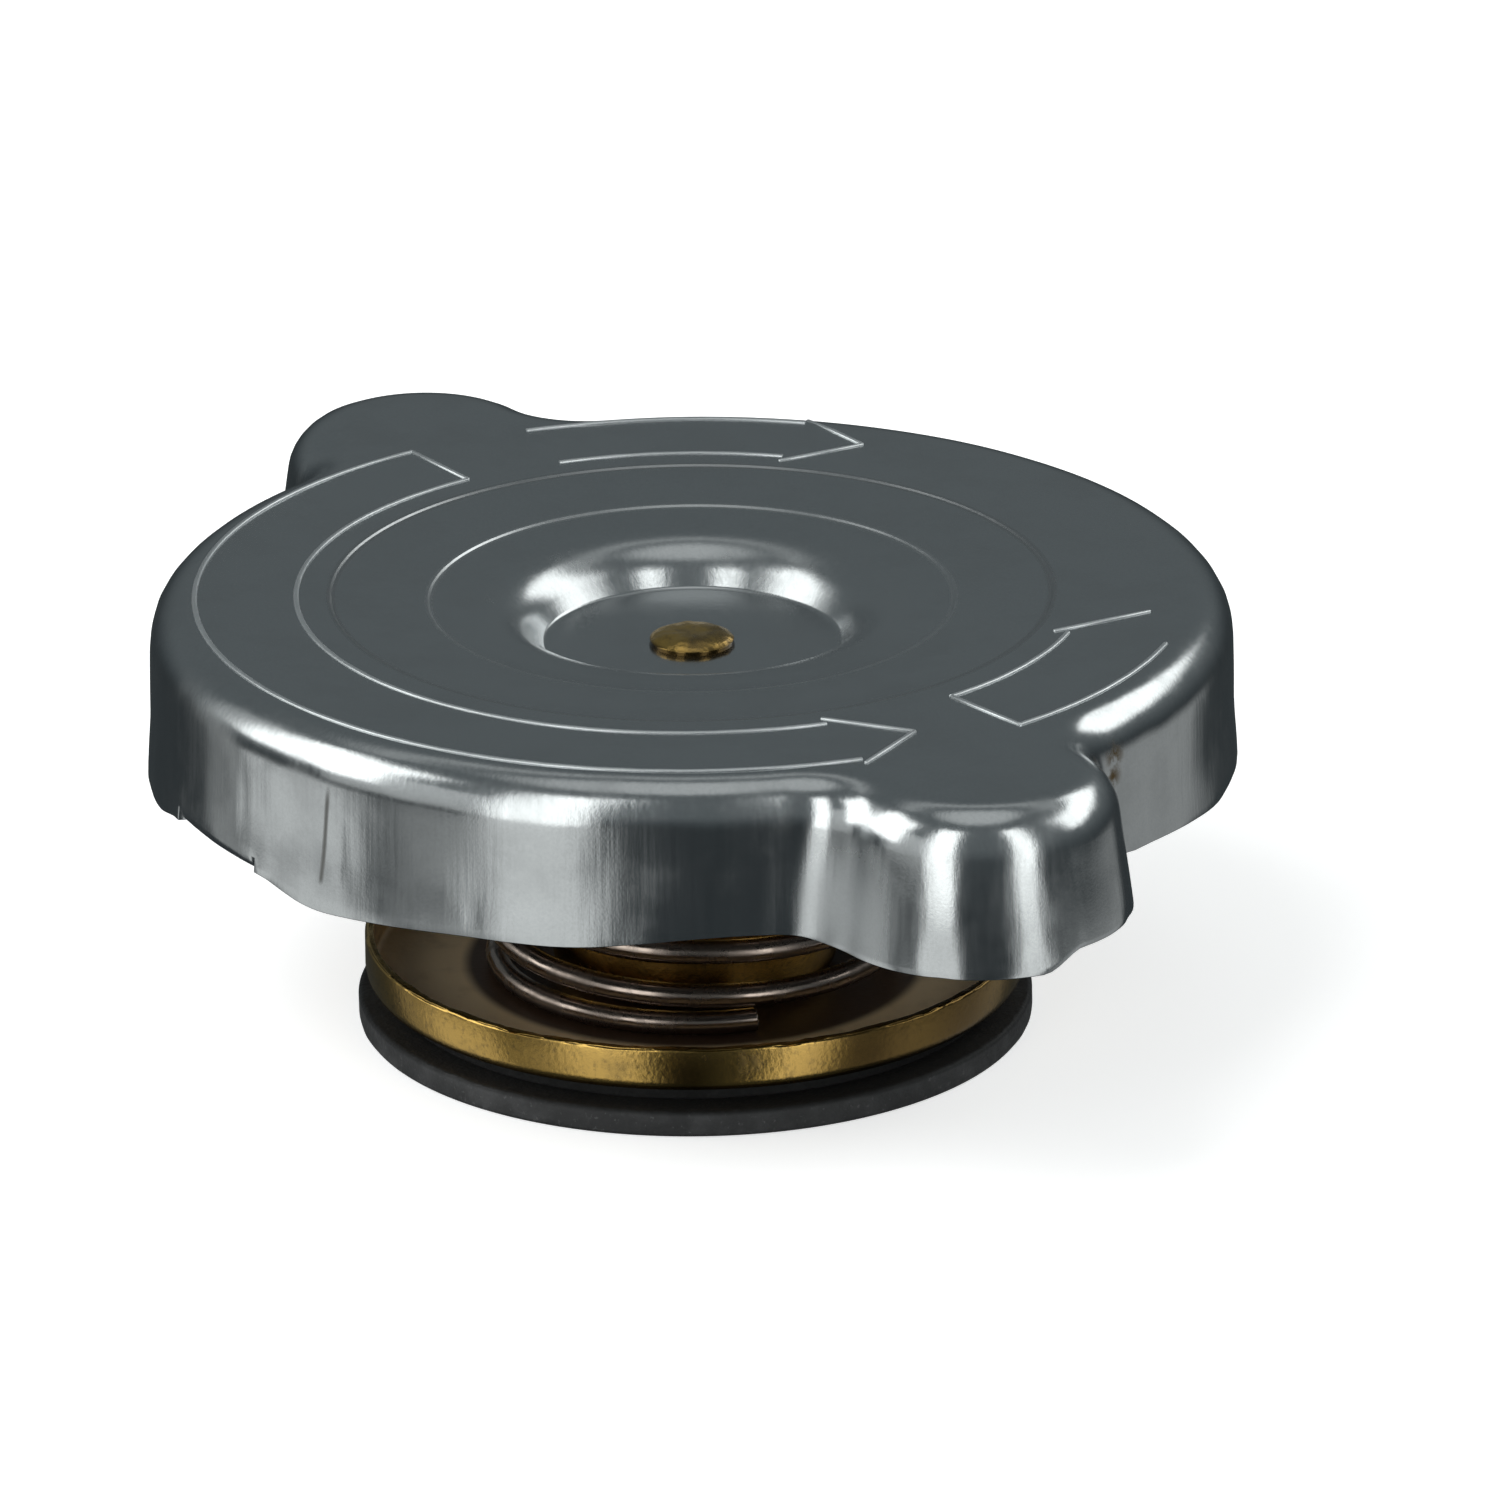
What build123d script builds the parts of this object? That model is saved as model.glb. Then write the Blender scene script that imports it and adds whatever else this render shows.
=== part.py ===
from build123d import *
import os
from math import cos, radians, sin, tan

# Bayonet pressure cap for a coolant tank. All sizes in millimetres.
# The cap stands on its valve seal: z = 0 is the seal's underside, +Z is up, the ears lie along X.

# Shell, pressed from plated steel sheet
sheet = 1.0
wall_r = 36.0
top_round = 3.1
ear_x = 37.4
ear_r = 8.8
ear_flare = 6.0
ear_blend = 5.0
outer_ring_r = 24.0
outer_ring_drop = 0.5
inner_ring_r = 17.5
inner_ring_drop = 0.5
ring_slope = 0.5
dish_rim_r = 11.8
dish_rim_drop = 0.25
dish_floor_r = 9.9
dish_depth = 3.7
dish_lip_round = 0.9
dish_foot_round = 0.7
dish_wall_share = 0.8
dish_bend_share = 0.5

# Skirt depth below the top: beside the claws, past them, between claw and ear, beside the ears, on the ears
depth_notch = 11.2
depth_side = 12.1
depth_mid = 11.3
depth_gap = 10.3
depth_ear = 10.9
edge_round = 2.0
# Where these depths lie across the cap, as shares of wall_r
notch_share = 0.15
side_share = 0.29
slope_share = 0.38
mid_share = 0.76
gap_share = 0.93

# Bayonet claws, folded inwards at the skirt's lower edge
claw_half = 8.0
claw_slit = 0.9
slit_depth = 9.9
claw_reach = 5.2
claw_bulge = 0.3
claw_bend = 0.7
claw_depth = 10.7
bulge_depth = 5.5

# Rivet and what it clamps
rivet_r = 1.9
head_r = 2.8
head_h = 0.8
head_side_share = 0.4
head_flat_share = 0.65
head_bend_share = 0.5
head_dimple_r = 0.9
head_dimple = 0.15
tail_r = 3.0
tail_h = 1.2
swivel_gap = 0.06
washer_r = 8.5
washer_t = 0.5
tail_washer_r = 5.0
tail_washer_t = 0.6

# Seal disc, upper gasket and its retainer
disc_t = 0.4
disc_hub_gap = 0.3
disc_margin = 0.2
gasket_r = 28.2
gasket_hub_gap = 1.1
gasket_web_t = 1.4
gasket_band_t = 2.2
gasket_band_w = 5.0
retainer_t = 0.8
retainer_hub_r = 14.9
retainer_slope = 1.6
retainer_margin = 1.0

# Bell and the guide cup that slides in it
bell_r = 11.0
bell_t = 0.7
bell_bend = 1.2
lip_bend = 0.9
guide_r = 9.5
guide_t = 0.6
guide_bend = 0.5
guide_edge = 0.35
slide_gap = 0.06
lift = 3.0
lift_margin = 0.8

# Main spring
spring_h = 20.1
spring_r = 14.1
wire_d = 1.6
wire_sides = 12
spring_turns = 6.75
spring_end = -16.0
flat_turns = 0.3
ease_turns = 0.25
seat_gap = 0.03

# Valve plate and rubber valve seal
plate_t = 0.6
plate_r = 22.1
plate_rim_h = 3.2
plate_bend = 0.8
seal_t = 2.9
seal_overhang = 0.54
seal_rim_t = 2.05
seal_land_r = 20.3
seal_recess_r = 12.6
seal_web_t = 0.9
seal_edge = 0.3

# Eyelet that joins guide, plate, seal and clamp washer
eyelet_bore_r = 4.6
eyelet_wall = 0.5
eyelet_flange_r = 6.6
eyelet_top_t = 0.5
eyelet_flare_t = 0.4
seal_washer_r = 11.6
seal_washer_t = 0.4

# Vacuum valve
vent_seat_r = 6.6
vent_seat_t = 0.5
vent_count = 4
vent_r = 0.9
vent_circle_r = 3.1
stem_r = 1.1
vacuum_r = 6.0
vacuum_disc_t = 0.4
vacuum_seal_t = 0.5
vacuum_travel = 2.0
vacuum_spare = 1.5
vacuum_spring_r = 3.3
vacuum_wire_d = 0.5
vacuum_turns = 6.0
cap_disc_r = 3.7
cap_disc_t = 0.6
peen_r = 1.7
peen_t = 0.5

# Heights that follow from the stack, counted up from the seal's underside
plate_z = seal_t
floor_z = plate_z + plate_t
hub_z = floor_z + spring_h
disc_z = hub_z + retainer_t
washer_z = disc_z + disc_t
shell_floor_z = washer_z + washer_t
top_z = shell_floor_z + sheet + dish_depth
bell_low_z = floor_z + lift + lift_margin
gasket_drop = gasket_web_t + retainer_t
spring_mid_r = spring_r - wire_d / 2
eyelet_r = eyelet_bore_r + eyelet_wall
lip_in_r = guide_r + slide_gap
retainer_knee_r = retainer_hub_r + retainer_t
gasket_in_r = retainer_hub_r + retainer_slope + gasket_hub_gap
band_in_r = gasket_r - gasket_band_w
retainer_r = band_in_r - retainer_margin
disc_r = gasket_r + disc_margin
vacuum_spring_h = (vacuum_turns + 1) * vacuum_wire_d + vacuum_travel + vacuum_spare
BASE = (Align.CENTER, Align.CENTER, Align.MIN)


def drum(radius, height, low_z):
    """Plain round solid standing on low_z."""
    return Pos(0, 0, low_z) * Cylinder(radius, height, align=BASE)


def ring(inner_r, outer_r, height, low_z):
    """Flat ring standing on low_z."""
    return drum(outer_r, height, low_z) - drum(inner_r, height, low_z)


def turned(outline):
    """Solid of revolution from a face drawn with x as the radius and y as the height."""
    return revolve(Plane.XZ * outline, Axis.Z)


def drawn(points, rounds=(), bevels=()):
    """Closed outline through (radius, height) points; rounds and bevels list (point number, size)."""
    face = make_face(Polyline(*points, close=True))
    for number, radius in rounds:
        corner = face.vertices().sort_by_distance(Vector(*points[number]))[0]
        face = fillet(corner, radius)
    for number, length in bevels:
        corner = face.vertices().sort_by_distance(Vector(*points[number]))[0]
        face = chamfer(corner, length)
    return face


def pressed(points, bends, thickness):
    """Section of bent sheet: a path with a bend radius at each corner, thickened to its right."""
    path = FilletPolyline(*points, radius=bends)
    return make_face(offset(path, amount=thickness, side=Side.RIGHT, kind=Kind.INTERSECTION).edges())


def climb(turn):
    """Rise of a coil after its flat end, in pitches: the pitch grows from nothing over ease_turns."""
    if turn < ease_turns:
        return max(turn, 0) ** 2 / (2 * ease_turns)
    return turn - ease_turns / 2


def coil(mean_r, wire_r, low_z, high_z, turns, start, hand):
    """Coil spring between two flat seats; its ends lie flat for some turns before they rise.

    The wire's round section is drawn with wire_sides short sides.
    """
    steps = round(turns * 6)
    inner = wire_r + seat_gap
    turn_down = turns - flat_turns - ease_turns
    pitches = climb(turns - flat_turns) - climb(turns - turn_down)
    path_points = []
    for step in range(steps + 1):
        turn = turns * step / steps
        rise = (climb(turn - flat_turns) - climb(turn - turn_down)) / pitches
        angle = radians(start + hand * 360 * turn)
        height = low_z + inner + (high_z - low_z - 2 * inner) * rise
        path_points.append((mean_r * cos(angle), mean_r * sin(angle), height))
    path = Spline(*path_points)
    wire = Plane(origin=path @ 0, z_dir=path % 0) * RegularPolygon(wire_r, wire_sides)
    return sweep(wire, path=path, is_frenet=True)


def pressed_form(inset):
    """Shell's outside, moved inwards by inset: round body, two flared ears, rounded top edge."""
    depth = depth_side + 2 * sheet
    height = depth - inset
    body = drum(wall_r - inset, height, top_z - depth)
    grow = tan(radians(ear_flare))
    for side in (1, -1):
        low_r = ear_r - inset + grow * depth
        high_r = ear_r - inset + grow * inset
        body += Pos(side * ear_x, 0, top_z - depth) * Cone(low_r, high_r, height, align=BASE)
    seams = [
        edge for edge in body.edges()
        if abs(edge.center().Y) > ear_r / 2 and abs((edge @ 0).Z - (edge @ 1).Z) > height / 2
        and edge.geom_type != GeomType.LINE
    ]
    body = fillet(seams, ear_blend + inset)
    rim = body.faces().sort_by(Axis.Z)[-1].outer_wire().edges()
    return fillet(rim, top_round - inset)


def top_relief(inset):
    """Space above the two stamped steps and the centre dish, moved down by inset."""
    z = top_z - inset
    above = top_z + sheet
    dish_grow = inset * dish_wall_share
    first = z - outer_ring_drop
    second = first - inner_ring_drop
    floor_r = dish_floor_r + dish_grow
    rim_r = dish_rim_r + dish_grow
    points = [
        (0, above),
        (outer_ring_r + ring_slope, above),
        (outer_ring_r + ring_slope, z),
        (outer_ring_r - ring_slope, first),
        (inner_ring_r + ring_slope, first),
        (inner_ring_r - ring_slope, second),
        (rim_r, second - dish_rim_drop),
        (floor_r, z - dish_depth),
        (0, z - dish_depth),
    ]
    bend = inset * dish_bend_share
    return turned(drawn(points, [(6, dish_lip_round - bend), (7, dish_foot_round + bend)]))


def below_skirt():
    """Space under the skirt's wavy lower edge, as one bar across the cap."""
    marks = [
        (notch_share * wall_r, depth_notch),
        (side_share * wall_r, depth_side),
        (slope_share * wall_r, depth_side),
        (mid_share * wall_r, depth_mid),
        (gap_share * wall_r, depth_gap),
        (wall_r, depth_ear),
        (ear_x + 2 * ear_r, depth_ear),
    ]
    right = [(x, top_z - depth) for x, depth in marks]
    left = [(-x, z) for x, z in reversed(right)]
    edge = FilletPolyline(*(left + right), radius=edge_round)
    low = top_z - 2 * depth_side
    frame = Polyline(edge @ 1, (right[-1][0], low), (left[0][0], low), edge @ 0)
    return extrude(Plane.XZ * make_face([edge, frame]), wall_r + ear_r, both=True)


def sector(half_angle, inner_r, outer_r, low_z, high_z):
    """Block of a ring, half_angle each side of +Y."""
    face = Plane.XZ * drawn([(inner_r, low_z), (outer_r, low_z), (outer_r, high_z), (inner_r, high_z)])
    return Rot(0, 0, 90 - half_angle) * revolve(face, Axis.Z, 2 * half_angle)


def claw():
    """Skirt wall at +Y, leaning outwards and folded in to a flat bayonet tab."""
    high_z = top_z - bulge_depth
    low_z = top_z - claw_depth
    outer_r = wall_r + claw_bulge
    points = [
        (wall_r, high_z),
        (outer_r, low_z),
        (wall_r - claw_reach, low_z),
        (wall_r - claw_reach, low_z + sheet),
        (outer_r - sheet, low_z + sheet),
        (wall_r - sheet, high_z),
    ]
    section = drawn(points, [(1, claw_bend + sheet), (4, claw_bend)])
    return Rot(0, 0, 90 - claw_half) * revolve(Plane.XZ * section, Axis.Z, 2 * claw_half)


def cap_shell():
    shell = (pressed_form(0) - top_relief(0)) - (pressed_form(sheet) - top_relief(sheet))
    shell -= below_skirt()
    inner_r = wall_r - 2 * sheet
    outer_r = wall_r + sheet
    low_z = top_z - 2 * depth_side
    window = sector(claw_half, inner_r, outer_r, low_z, top_z - bulge_depth)
    window += sector(claw_half + claw_slit, inner_r, outer_r, low_z, top_z - slit_depth)
    for turn in (0, 180):
        shell -= Rot(0, 0, turn) * window
        shell += Rot(0, 0, turn) * claw()
    return shell - drum(rivet_r + swivel_gap, 2 * sheet, shell_floor_z - sheet / 2)


def center_rivet():
    head_z = shell_floor_z + sheet
    low_z = hub_z - bell_t - tail_washer_t - tail_h
    points = [
        (0, head_z + head_h - head_dimple),
        (0, low_z),
        (tail_r, low_z),
        (tail_r, low_z + tail_h),
        (rivet_r, low_z + tail_h),
        (rivet_r, head_z),
        (head_r, head_z),
        (head_r, head_z + head_h * head_side_share),
        (head_r * head_flat_share, head_z + head_h),
        (head_dimple_r, head_z + head_h),
    ]
    bend = head_h * head_bend_share
    return turned(drawn(points, [(2, bend), (7, bend), (8, bend)]))


def swivel_washer():
    return ring(rivet_r, washer_r, washer_t, washer_z)


def spring_disc():
    outer_z = disc_z - gasket_drop + gasket_web_t
    path = [
        (rivet_r, washer_z),
        (retainer_knee_r + disc_hub_gap, washer_z),
        (gasket_in_r, outer_z + disc_t),
        (disc_r, outer_z + disc_t),
    ]
    return turned(pressed(path, 0, disc_t))


def upper_gasket():
    high_z = disc_z - gasket_drop + gasket_web_t
    band_z = high_z - gasket_band_t
    web_z = high_z - gasket_web_t
    points = [
        (gasket_in_r, high_z),
        (gasket_in_r, web_z),
        (band_in_r, web_z),
        (band_in_r, band_z),
        (gasket_r, band_z),
        (gasket_r, high_z),
    ]
    return turned(drawn(points, bevels=[(3, seal_edge), (4, seal_edge)]))


def gasket_retainer():
    outer_z = disc_z - gasket_drop
    path = [
        (rivet_r, disc_z),
        (retainer_knee_r, disc_z),
        (retainer_hub_r + retainer_slope, outer_z),
        (retainer_r, outer_z),
    ]
    return turned(pressed(path, 0, retainer_t))


def bell_housing():
    path = [(rivet_r, hub_z), (bell_r, hub_z), (bell_r, bell_low_z), (lip_in_r, bell_low_z)]
    return turned(pressed(path, (bell_bend, lip_bend), bell_t))


def rivet_washer():
    return ring(rivet_r, tail_washer_r, tail_washer_t, hub_z - bell_t - tail_washer_t)


def main_spring():
    return coil(spring_mid_r, wire_d / 2, floor_z, hub_z, spring_turns, spring_end, -1)


def valve_guide():
    flange_z = bell_low_z + bell_t + guide_t
    flange_r = bell_r - bell_t - slide_gap
    path = [
        (eyelet_r, floor_z + guide_t),
        (guide_r - guide_t, floor_z + guide_t),
        (guide_r - guide_t, flange_z),
        (flange_r, flange_z),
    ]
    section = pressed(path, (guide_bend, 0), guide_t)
    corner = section.vertices().sort_by_distance(Vector(flange_r, flange_z - guide_t))[0]
    return turned(chamfer(corner, guide_edge))


def valve_plate():
    rim_z = plate_z + plate_rim_h
    path = [(eyelet_r, floor_z), (plate_r - plate_t, floor_z), (plate_r - plate_t, rim_z)]
    return turned(pressed(path, plate_bend, plate_t))


def valve_seal():
    seal_r = plate_r + seal_overhang
    web_z = seal_t - seal_web_t
    points = [
        (eyelet_r, seal_t),
        (eyelet_r, web_z),
        (seal_recess_r, web_z),
        (seal_recess_r, 0),
        (seal_r, 0),
        (seal_r, seal_rim_t),
        (seal_land_r, seal_rim_t),
        (seal_land_r, seal_t),
    ]
    return turned(drawn(points, bevels=[(4, seal_edge), (5, seal_edge)]))


def seal_washer():
    return ring(eyelet_r, seal_washer_r, seal_washer_t, seal_t - seal_web_t - seal_washer_t)


def valve_eyelet():
    high_z = floor_z + guide_t
    low_z = seal_t - seal_web_t - seal_washer_t
    tube = ring(eyelet_bore_r, eyelet_r, high_z - low_z, low_z)
    flange = ring(eyelet_bore_r, eyelet_flange_r, eyelet_top_t, high_z)
    flare = ring(eyelet_bore_r, eyelet_flange_r, eyelet_flare_t, low_z - eyelet_flare_t)
    return tube + flange + flare


def vacuum_spring_seat():
    seat_z = floor_z + guide_t + eyelet_top_t
    seat = ring(stem_r + slide_gap, vent_seat_r, vent_seat_t, seat_z)
    vents = PolarLocations(vent_circle_r, vent_count)
    return seat - [place * Pos(0, 0, seat_z) * Cylinder(vent_r, vent_seat_t, align=BASE) for place in vents]


def vacuum_heights():
    """Undersides of vacuum disc, vacuum seal, spring and spring cap."""
    seal_low = seal_t - seal_web_t - seal_washer_t - eyelet_flare_t - vacuum_seal_t
    spring_low = floor_z + guide_t + eyelet_top_t + vent_seat_t
    return seal_low - vacuum_disc_t, seal_low, spring_low, spring_low + vacuum_spring_h


def vacuum_valve():
    disc_low, _, _, cap_low = vacuum_heights()
    stem_top = cap_low + cap_disc_t
    valve = drum(vacuum_r, vacuum_disc_t, disc_low) + drum(stem_r, stem_top - disc_low, disc_low)
    return valve + drum(peen_r, peen_t, stem_top)


def vacuum_seal():
    _, seal_low, _, _ = vacuum_heights()
    return ring(stem_r, vacuum_r, vacuum_seal_t, seal_low)


def vacuum_spring():
    _, _, spring_low, cap_low = vacuum_heights()
    wire_r = vacuum_wire_d / 2
    return coil(vacuum_spring_r - wire_r, wire_r, spring_low, cap_low, vacuum_turns, 0, 1)


def vacuum_retainer():
    _, _, _, cap_low = vacuum_heights()
    return ring(stem_r, cap_disc_r, cap_disc_t, cap_low)


PIECES = [
    cap_shell, center_rivet, swivel_washer, spring_disc, upper_gasket, gasket_retainer, bell_housing,
    rivet_washer, main_spring, valve_guide, valve_plate, valve_seal, seal_washer, valve_eyelet,
    vacuum_spring_seat, vacuum_valve, vacuum_seal, vacuum_spring, vacuum_retainer,
]

os.makedirs("parts", exist_ok=True)
for piece in PIECES:
    export_step(piece(), f"parts/{piece.__name__}.step")
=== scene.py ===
import bmesh
import bpy
from math import atan2, cos, degrees, hypot, pi, radians, sin, sqrt, tan
from mathutils import Matrix, Vector, noise


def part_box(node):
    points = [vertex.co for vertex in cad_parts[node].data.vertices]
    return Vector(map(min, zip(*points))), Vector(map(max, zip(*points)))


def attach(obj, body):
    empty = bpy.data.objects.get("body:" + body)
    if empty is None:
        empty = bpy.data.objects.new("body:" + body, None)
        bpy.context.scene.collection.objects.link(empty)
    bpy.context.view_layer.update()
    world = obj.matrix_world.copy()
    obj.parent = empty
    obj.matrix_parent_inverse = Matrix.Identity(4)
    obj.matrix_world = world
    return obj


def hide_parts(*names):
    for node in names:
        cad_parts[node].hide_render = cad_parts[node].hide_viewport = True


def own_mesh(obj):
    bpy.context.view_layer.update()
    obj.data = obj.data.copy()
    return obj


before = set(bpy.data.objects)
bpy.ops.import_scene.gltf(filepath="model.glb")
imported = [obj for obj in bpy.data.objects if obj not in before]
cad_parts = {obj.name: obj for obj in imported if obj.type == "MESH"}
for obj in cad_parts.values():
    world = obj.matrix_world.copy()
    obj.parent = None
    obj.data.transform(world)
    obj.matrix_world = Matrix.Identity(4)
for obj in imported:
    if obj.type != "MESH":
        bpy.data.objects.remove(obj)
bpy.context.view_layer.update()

bl_info = {
    "name": "Coolant tank cap",
    "version": (1, 0, 0),
    "blender": (4, 5, 0),
    "location": "3D View > Sidebar > Tank cap",
    "description": "Dresses the packed model of a bayonet pressure cap and sets its studio",
    "category": "Object",
}

MM = 0.001

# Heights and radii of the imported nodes, in millimetres
SHELL_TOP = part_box("cap_shell")[1].z / MM
SPRING_LOW, SPRING_HIGH = (corner.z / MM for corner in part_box("main_spring"))
SPRING_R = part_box("main_spring")[1].x / MM
VACUUM_LOW, VACUUM_HIGH = (corner.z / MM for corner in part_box("vacuum_spring"))
VACUUM_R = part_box("vacuum_spring")[1].x / MM
PLATE_LOW, PLATE_HIGH = (corner.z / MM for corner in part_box("valve_plate"))
PLATE_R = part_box("valve_plate")[1].x / MM
SEAL_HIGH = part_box("valve_seal")[1].z / MM
SEAL_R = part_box("valve_seal")[1].x / MM
RIVET_LOW, RIVET_HIGH = (corner.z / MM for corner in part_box("center_rivet"))


# Sizes and colours that a user would change


class CapSizes(bpy.types.PropertyGroup):
    """Sizes in millimetres"""
    sheet: bpy.props.FloatProperty(
        name="Sheet", description="Thickness of the shell's steel sheet, in millimetres", default=1.0)
    wall_r: bpy.props.FloatProperty(
        name="Wall radius", description="Radius of the skirt, in millimetres", default=36.0)
    ear_x: bpy.props.FloatProperty(
        name="Ear place", description="Distance of an ear's middle from the axis, in millimetres",
        default=37.4)
    ear_r: bpy.props.FloatProperty(
        name="Ear radius", description="Radius of an ear at the top, in millimetres", default=8.8)
    ear_blend: bpy.props.FloatProperty(
        name="Ear blend", description="Radius between ear and wall, in millimetres", default=5.0)
    ear_flare: bpy.props.FloatProperty(
        name="Ear flare", description="How far the ears' walls lean outwards", default=radians(6),
        subtype="ANGLE")
    top_round: bpy.props.FloatProperty(
        name="Top rounding", description="Radius of the top edge, in millimetres", default=3.1)
    ridge_wide: bpy.props.FloatProperty(
        name="Ridge width", description="Width of a stamped line, in millimetres", default=0.36)
    ridge_high: bpy.props.FloatProperty(
        name="Ridge height", description="Height of a stamped line, in millimetres", default=0.11)
    wire_d: bpy.props.FloatProperty(
        name="Wire", description="Main spring's wire, in millimetres", default=1.6)
    vacuum_wire_d: bpy.props.FloatProperty(
        name="Vacuum wire", description="Vacuum spring's wire, in millimetres", default=0.5)


def finish_colour(name, description, default):
    """Colour that a user can set."""
    return bpy.props.FloatVectorProperty(
        name=name, description=description, subtype="COLOR", size=3, default=default, min=0, max=1)


class CapColours(bpy.types.PropertyGroup):
    """Main colours of the finishes"""
    plating: finish_colour("Plating", "Plated steel of the shell", (0.60, 0.62, 0.63))
    brass: finish_colour("Brass", "Clean brass", (0.60, 0.385, 0.11))
    tarnish: finish_colour("Tarnish", "Tarnished brass", (0.17, 0.12, 0.06))
    spring: finish_colour("Spring steel", "Oiled spring steel", (0.44, 0.36, 0.31))
    rubber: finish_colour("Rubber", "Rubber of seal and gasket", (0.033, 0.033, 0.034))
    floor: finish_colour("Floor", "Studio floor", (0.8, 0.8, 0.8))


# Brown stain beside the front ear, in two spots, and the ear's dull flank: middle and radius in millimetres
STAIN, STAIN_R = (33.8, 12.4, 27.0), 1.4
STAIN_LOW, STAIN_LOW_R = (33.9, 12.2, 25.6), 1.1
FLANK, FLANK_R = (37.0, -9.0, 22.0), 6.5

# Painted shade line of the fold in the skirt: angle, depths of its two ends, slant, and half widths where it
# is full and gone
FOLD_ANGLE, FOLD_HIGH, FOLD_LOW, FOLD_SLANT = radians(-71.1), 4.4, 9.6, 0.1
FOLD_CORE, FOLD_HALF = 0.02, 0.27

# Duller rise of the centre dish: where it starts and where it ends, each as two radii
DISH_IN, DISH_OUT = (9.2, 9.8), (13, 15)

# Colours of wear, and of painted shade and painted reflection
RUST = (0.20, 0.135, 0.06)
FOLD_SHADE = (0.13, 0.12, 0.105)
STEP_SHADE = (0.16, 0.16, 0.165)
TARNISH_AND_REFLECTION_BROWN = (0.13, 0.08, 0.03)
SHADED_BRASS = (0.03, 0.018, 0.008)
DULL_BRASS, DULL_TARNISH = (0.74, 0.56, 0.34), (0.55, 0.41, 0.245)
PAINTED_SPRING_SHADE = (0.06, 0.032, 0.018)
DUST = (0.16, 0.16, 0.16)
PAINTED_RIM_SHADE = (0.004, 0.004, 0.004)

# Shader helpers

GROUPS = {}


def wire_up(tree, kind, inputs=(), **settings):
    """Adds a node; inputs maps a socket's name or number to a value or to another node's output."""
    node = tree.nodes.new(kind)
    for key, value in settings.items():
        setattr(node, key, value)
    for socket, value in dict(inputs).items():
        if isinstance(value, bpy.types.NodeSocket):
            tree.links.new(value, node.inputs[socket])
        else:
            node.inputs[socket].default_value = value
    return node


def maths(tree, operation, *values):
    """Output of a Math node."""
    return wire_up(tree, "ShaderNodeMath", enumerate(values), operation=operation).outputs[0]


def chained(tree, operation, first, *others):
    """Output of Math nodes that join all the values by one operation."""
    for value in others:
        first = maths(tree, operation, first, value)
    return first


def raised(tree, value, mask, amount):
    """Value plus amount where the mask is 1."""
    return maths(tree, "ADD", value, maths(tree, "MULTIPLY", mask, amount))


def distance_along(tree, place, way):
    """How far a place lies along a direction."""
    return wire_up(tree, "ShaderNodeVectorMath", {0: place, 1: way}, operation="DOT_PRODUCT").outputs["Value"]


def height_of(tree, place):
    """Height of a place."""
    return wire_up(tree, "ShaderNodeSeparateXYZ", {0: place}).outputs[2]


def cloud(tree, place, scale, detail):
    """Output of a noise texture."""
    return wire_up(tree, "ShaderNodeTexNoise", {"Vector": place, "Scale": scale, "Detail": detail}).outputs[0]


def group(name, inputs, outputs):
    """New shader node group; inputs and outputs list (name, socket type, default)."""
    tree = bpy.data.node_groups.new(name, "ShaderNodeTree")
    for label, kind, default in inputs:
        socket = tree.interface.new_socket(label, in_out="INPUT", socket_type=kind)
        if default is not None:
            socket.default_value = default
    for label, kind in outputs:
        tree.interface.new_socket(label, in_out="OUTPUT", socket_type=kind)
    start = tree.nodes.new("NodeGroupInput")
    end = tree.nodes.new("NodeGroupOutput")
    return tree, start.outputs, end.inputs


def placed(tree, node_group, **inputs):
    """Places a node group in a material's tree."""
    node = tree.nodes.new("ShaderNodeGroup")
    node.node_tree = node_group
    for label, value in inputs.items():
        socket = node.inputs[label.replace("_", " ")]
        if isinstance(value, bpy.types.NodeSocket):
            tree.links.new(value, socket)
        else:
            socket.default_value = value
    return node.outputs


FLOAT, VECTOR = "NodeSocketFloat", "NodeSocketVector"


def soft_window():
    """Bright patch of the studio, by direction: 1 inside, falling to 0 over Soft."""
    tree, given, out = group("Soft window", [
        ("Azimuth", FLOAT, 0), ("Elevation", FLOAT, 0), ("Middle", FLOAT, 0), ("Half width", FLOAT, 10),
        ("Low", FLOAT, 0), ("High", FLOAT, 40), ("Soft", FLOAT, 5)], [("Mask", FLOAT)])
    turn = maths(tree, "WRAP", maths(tree, "SUBTRACT", given["Azimuth"], given["Middle"]), 180, -180)
    side = maths(tree, "SUBTRACT", given["Half width"], maths(tree, "ABSOLUTE", turn))
    over = maths(tree, "SUBTRACT", given["Elevation"], given["Low"])
    under = maths(tree, "SUBTRACT", given["High"], given["Elevation"])
    inside = [
        ranged(tree, maths(tree, "DIVIDE", value, given["Soft"]), 0, 1) for value in (side, over, under)]
    tree.links.new(chained(tree, "MULTIPLY", *inside), out["Mask"])
    return tree


def patches():
    """Soft uneven patches between 0 and 1."""
    tree, given, out = group("Patches", [
        ("Vector", VECTOR, None), ("Scale", FLOAT, 100), ("Detail", FLOAT, 4),
        ("Low", FLOAT, 0.4), ("High", FLOAT, 0.6)], [("Mask", FLOAT)])
    noisy = wire_up(tree, "ShaderNodeTexNoise", {
        "Vector": given["Vector"], "Scale": given["Scale"], "Detail": given["Detail"], "Roughness": 0.6})
    mask = ranged(tree, noisy.outputs[0], 0, 1, from_low=given["Low"], from_high=given["High"])
    tree.links.new(mask, out["Mask"])
    return tree


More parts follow.
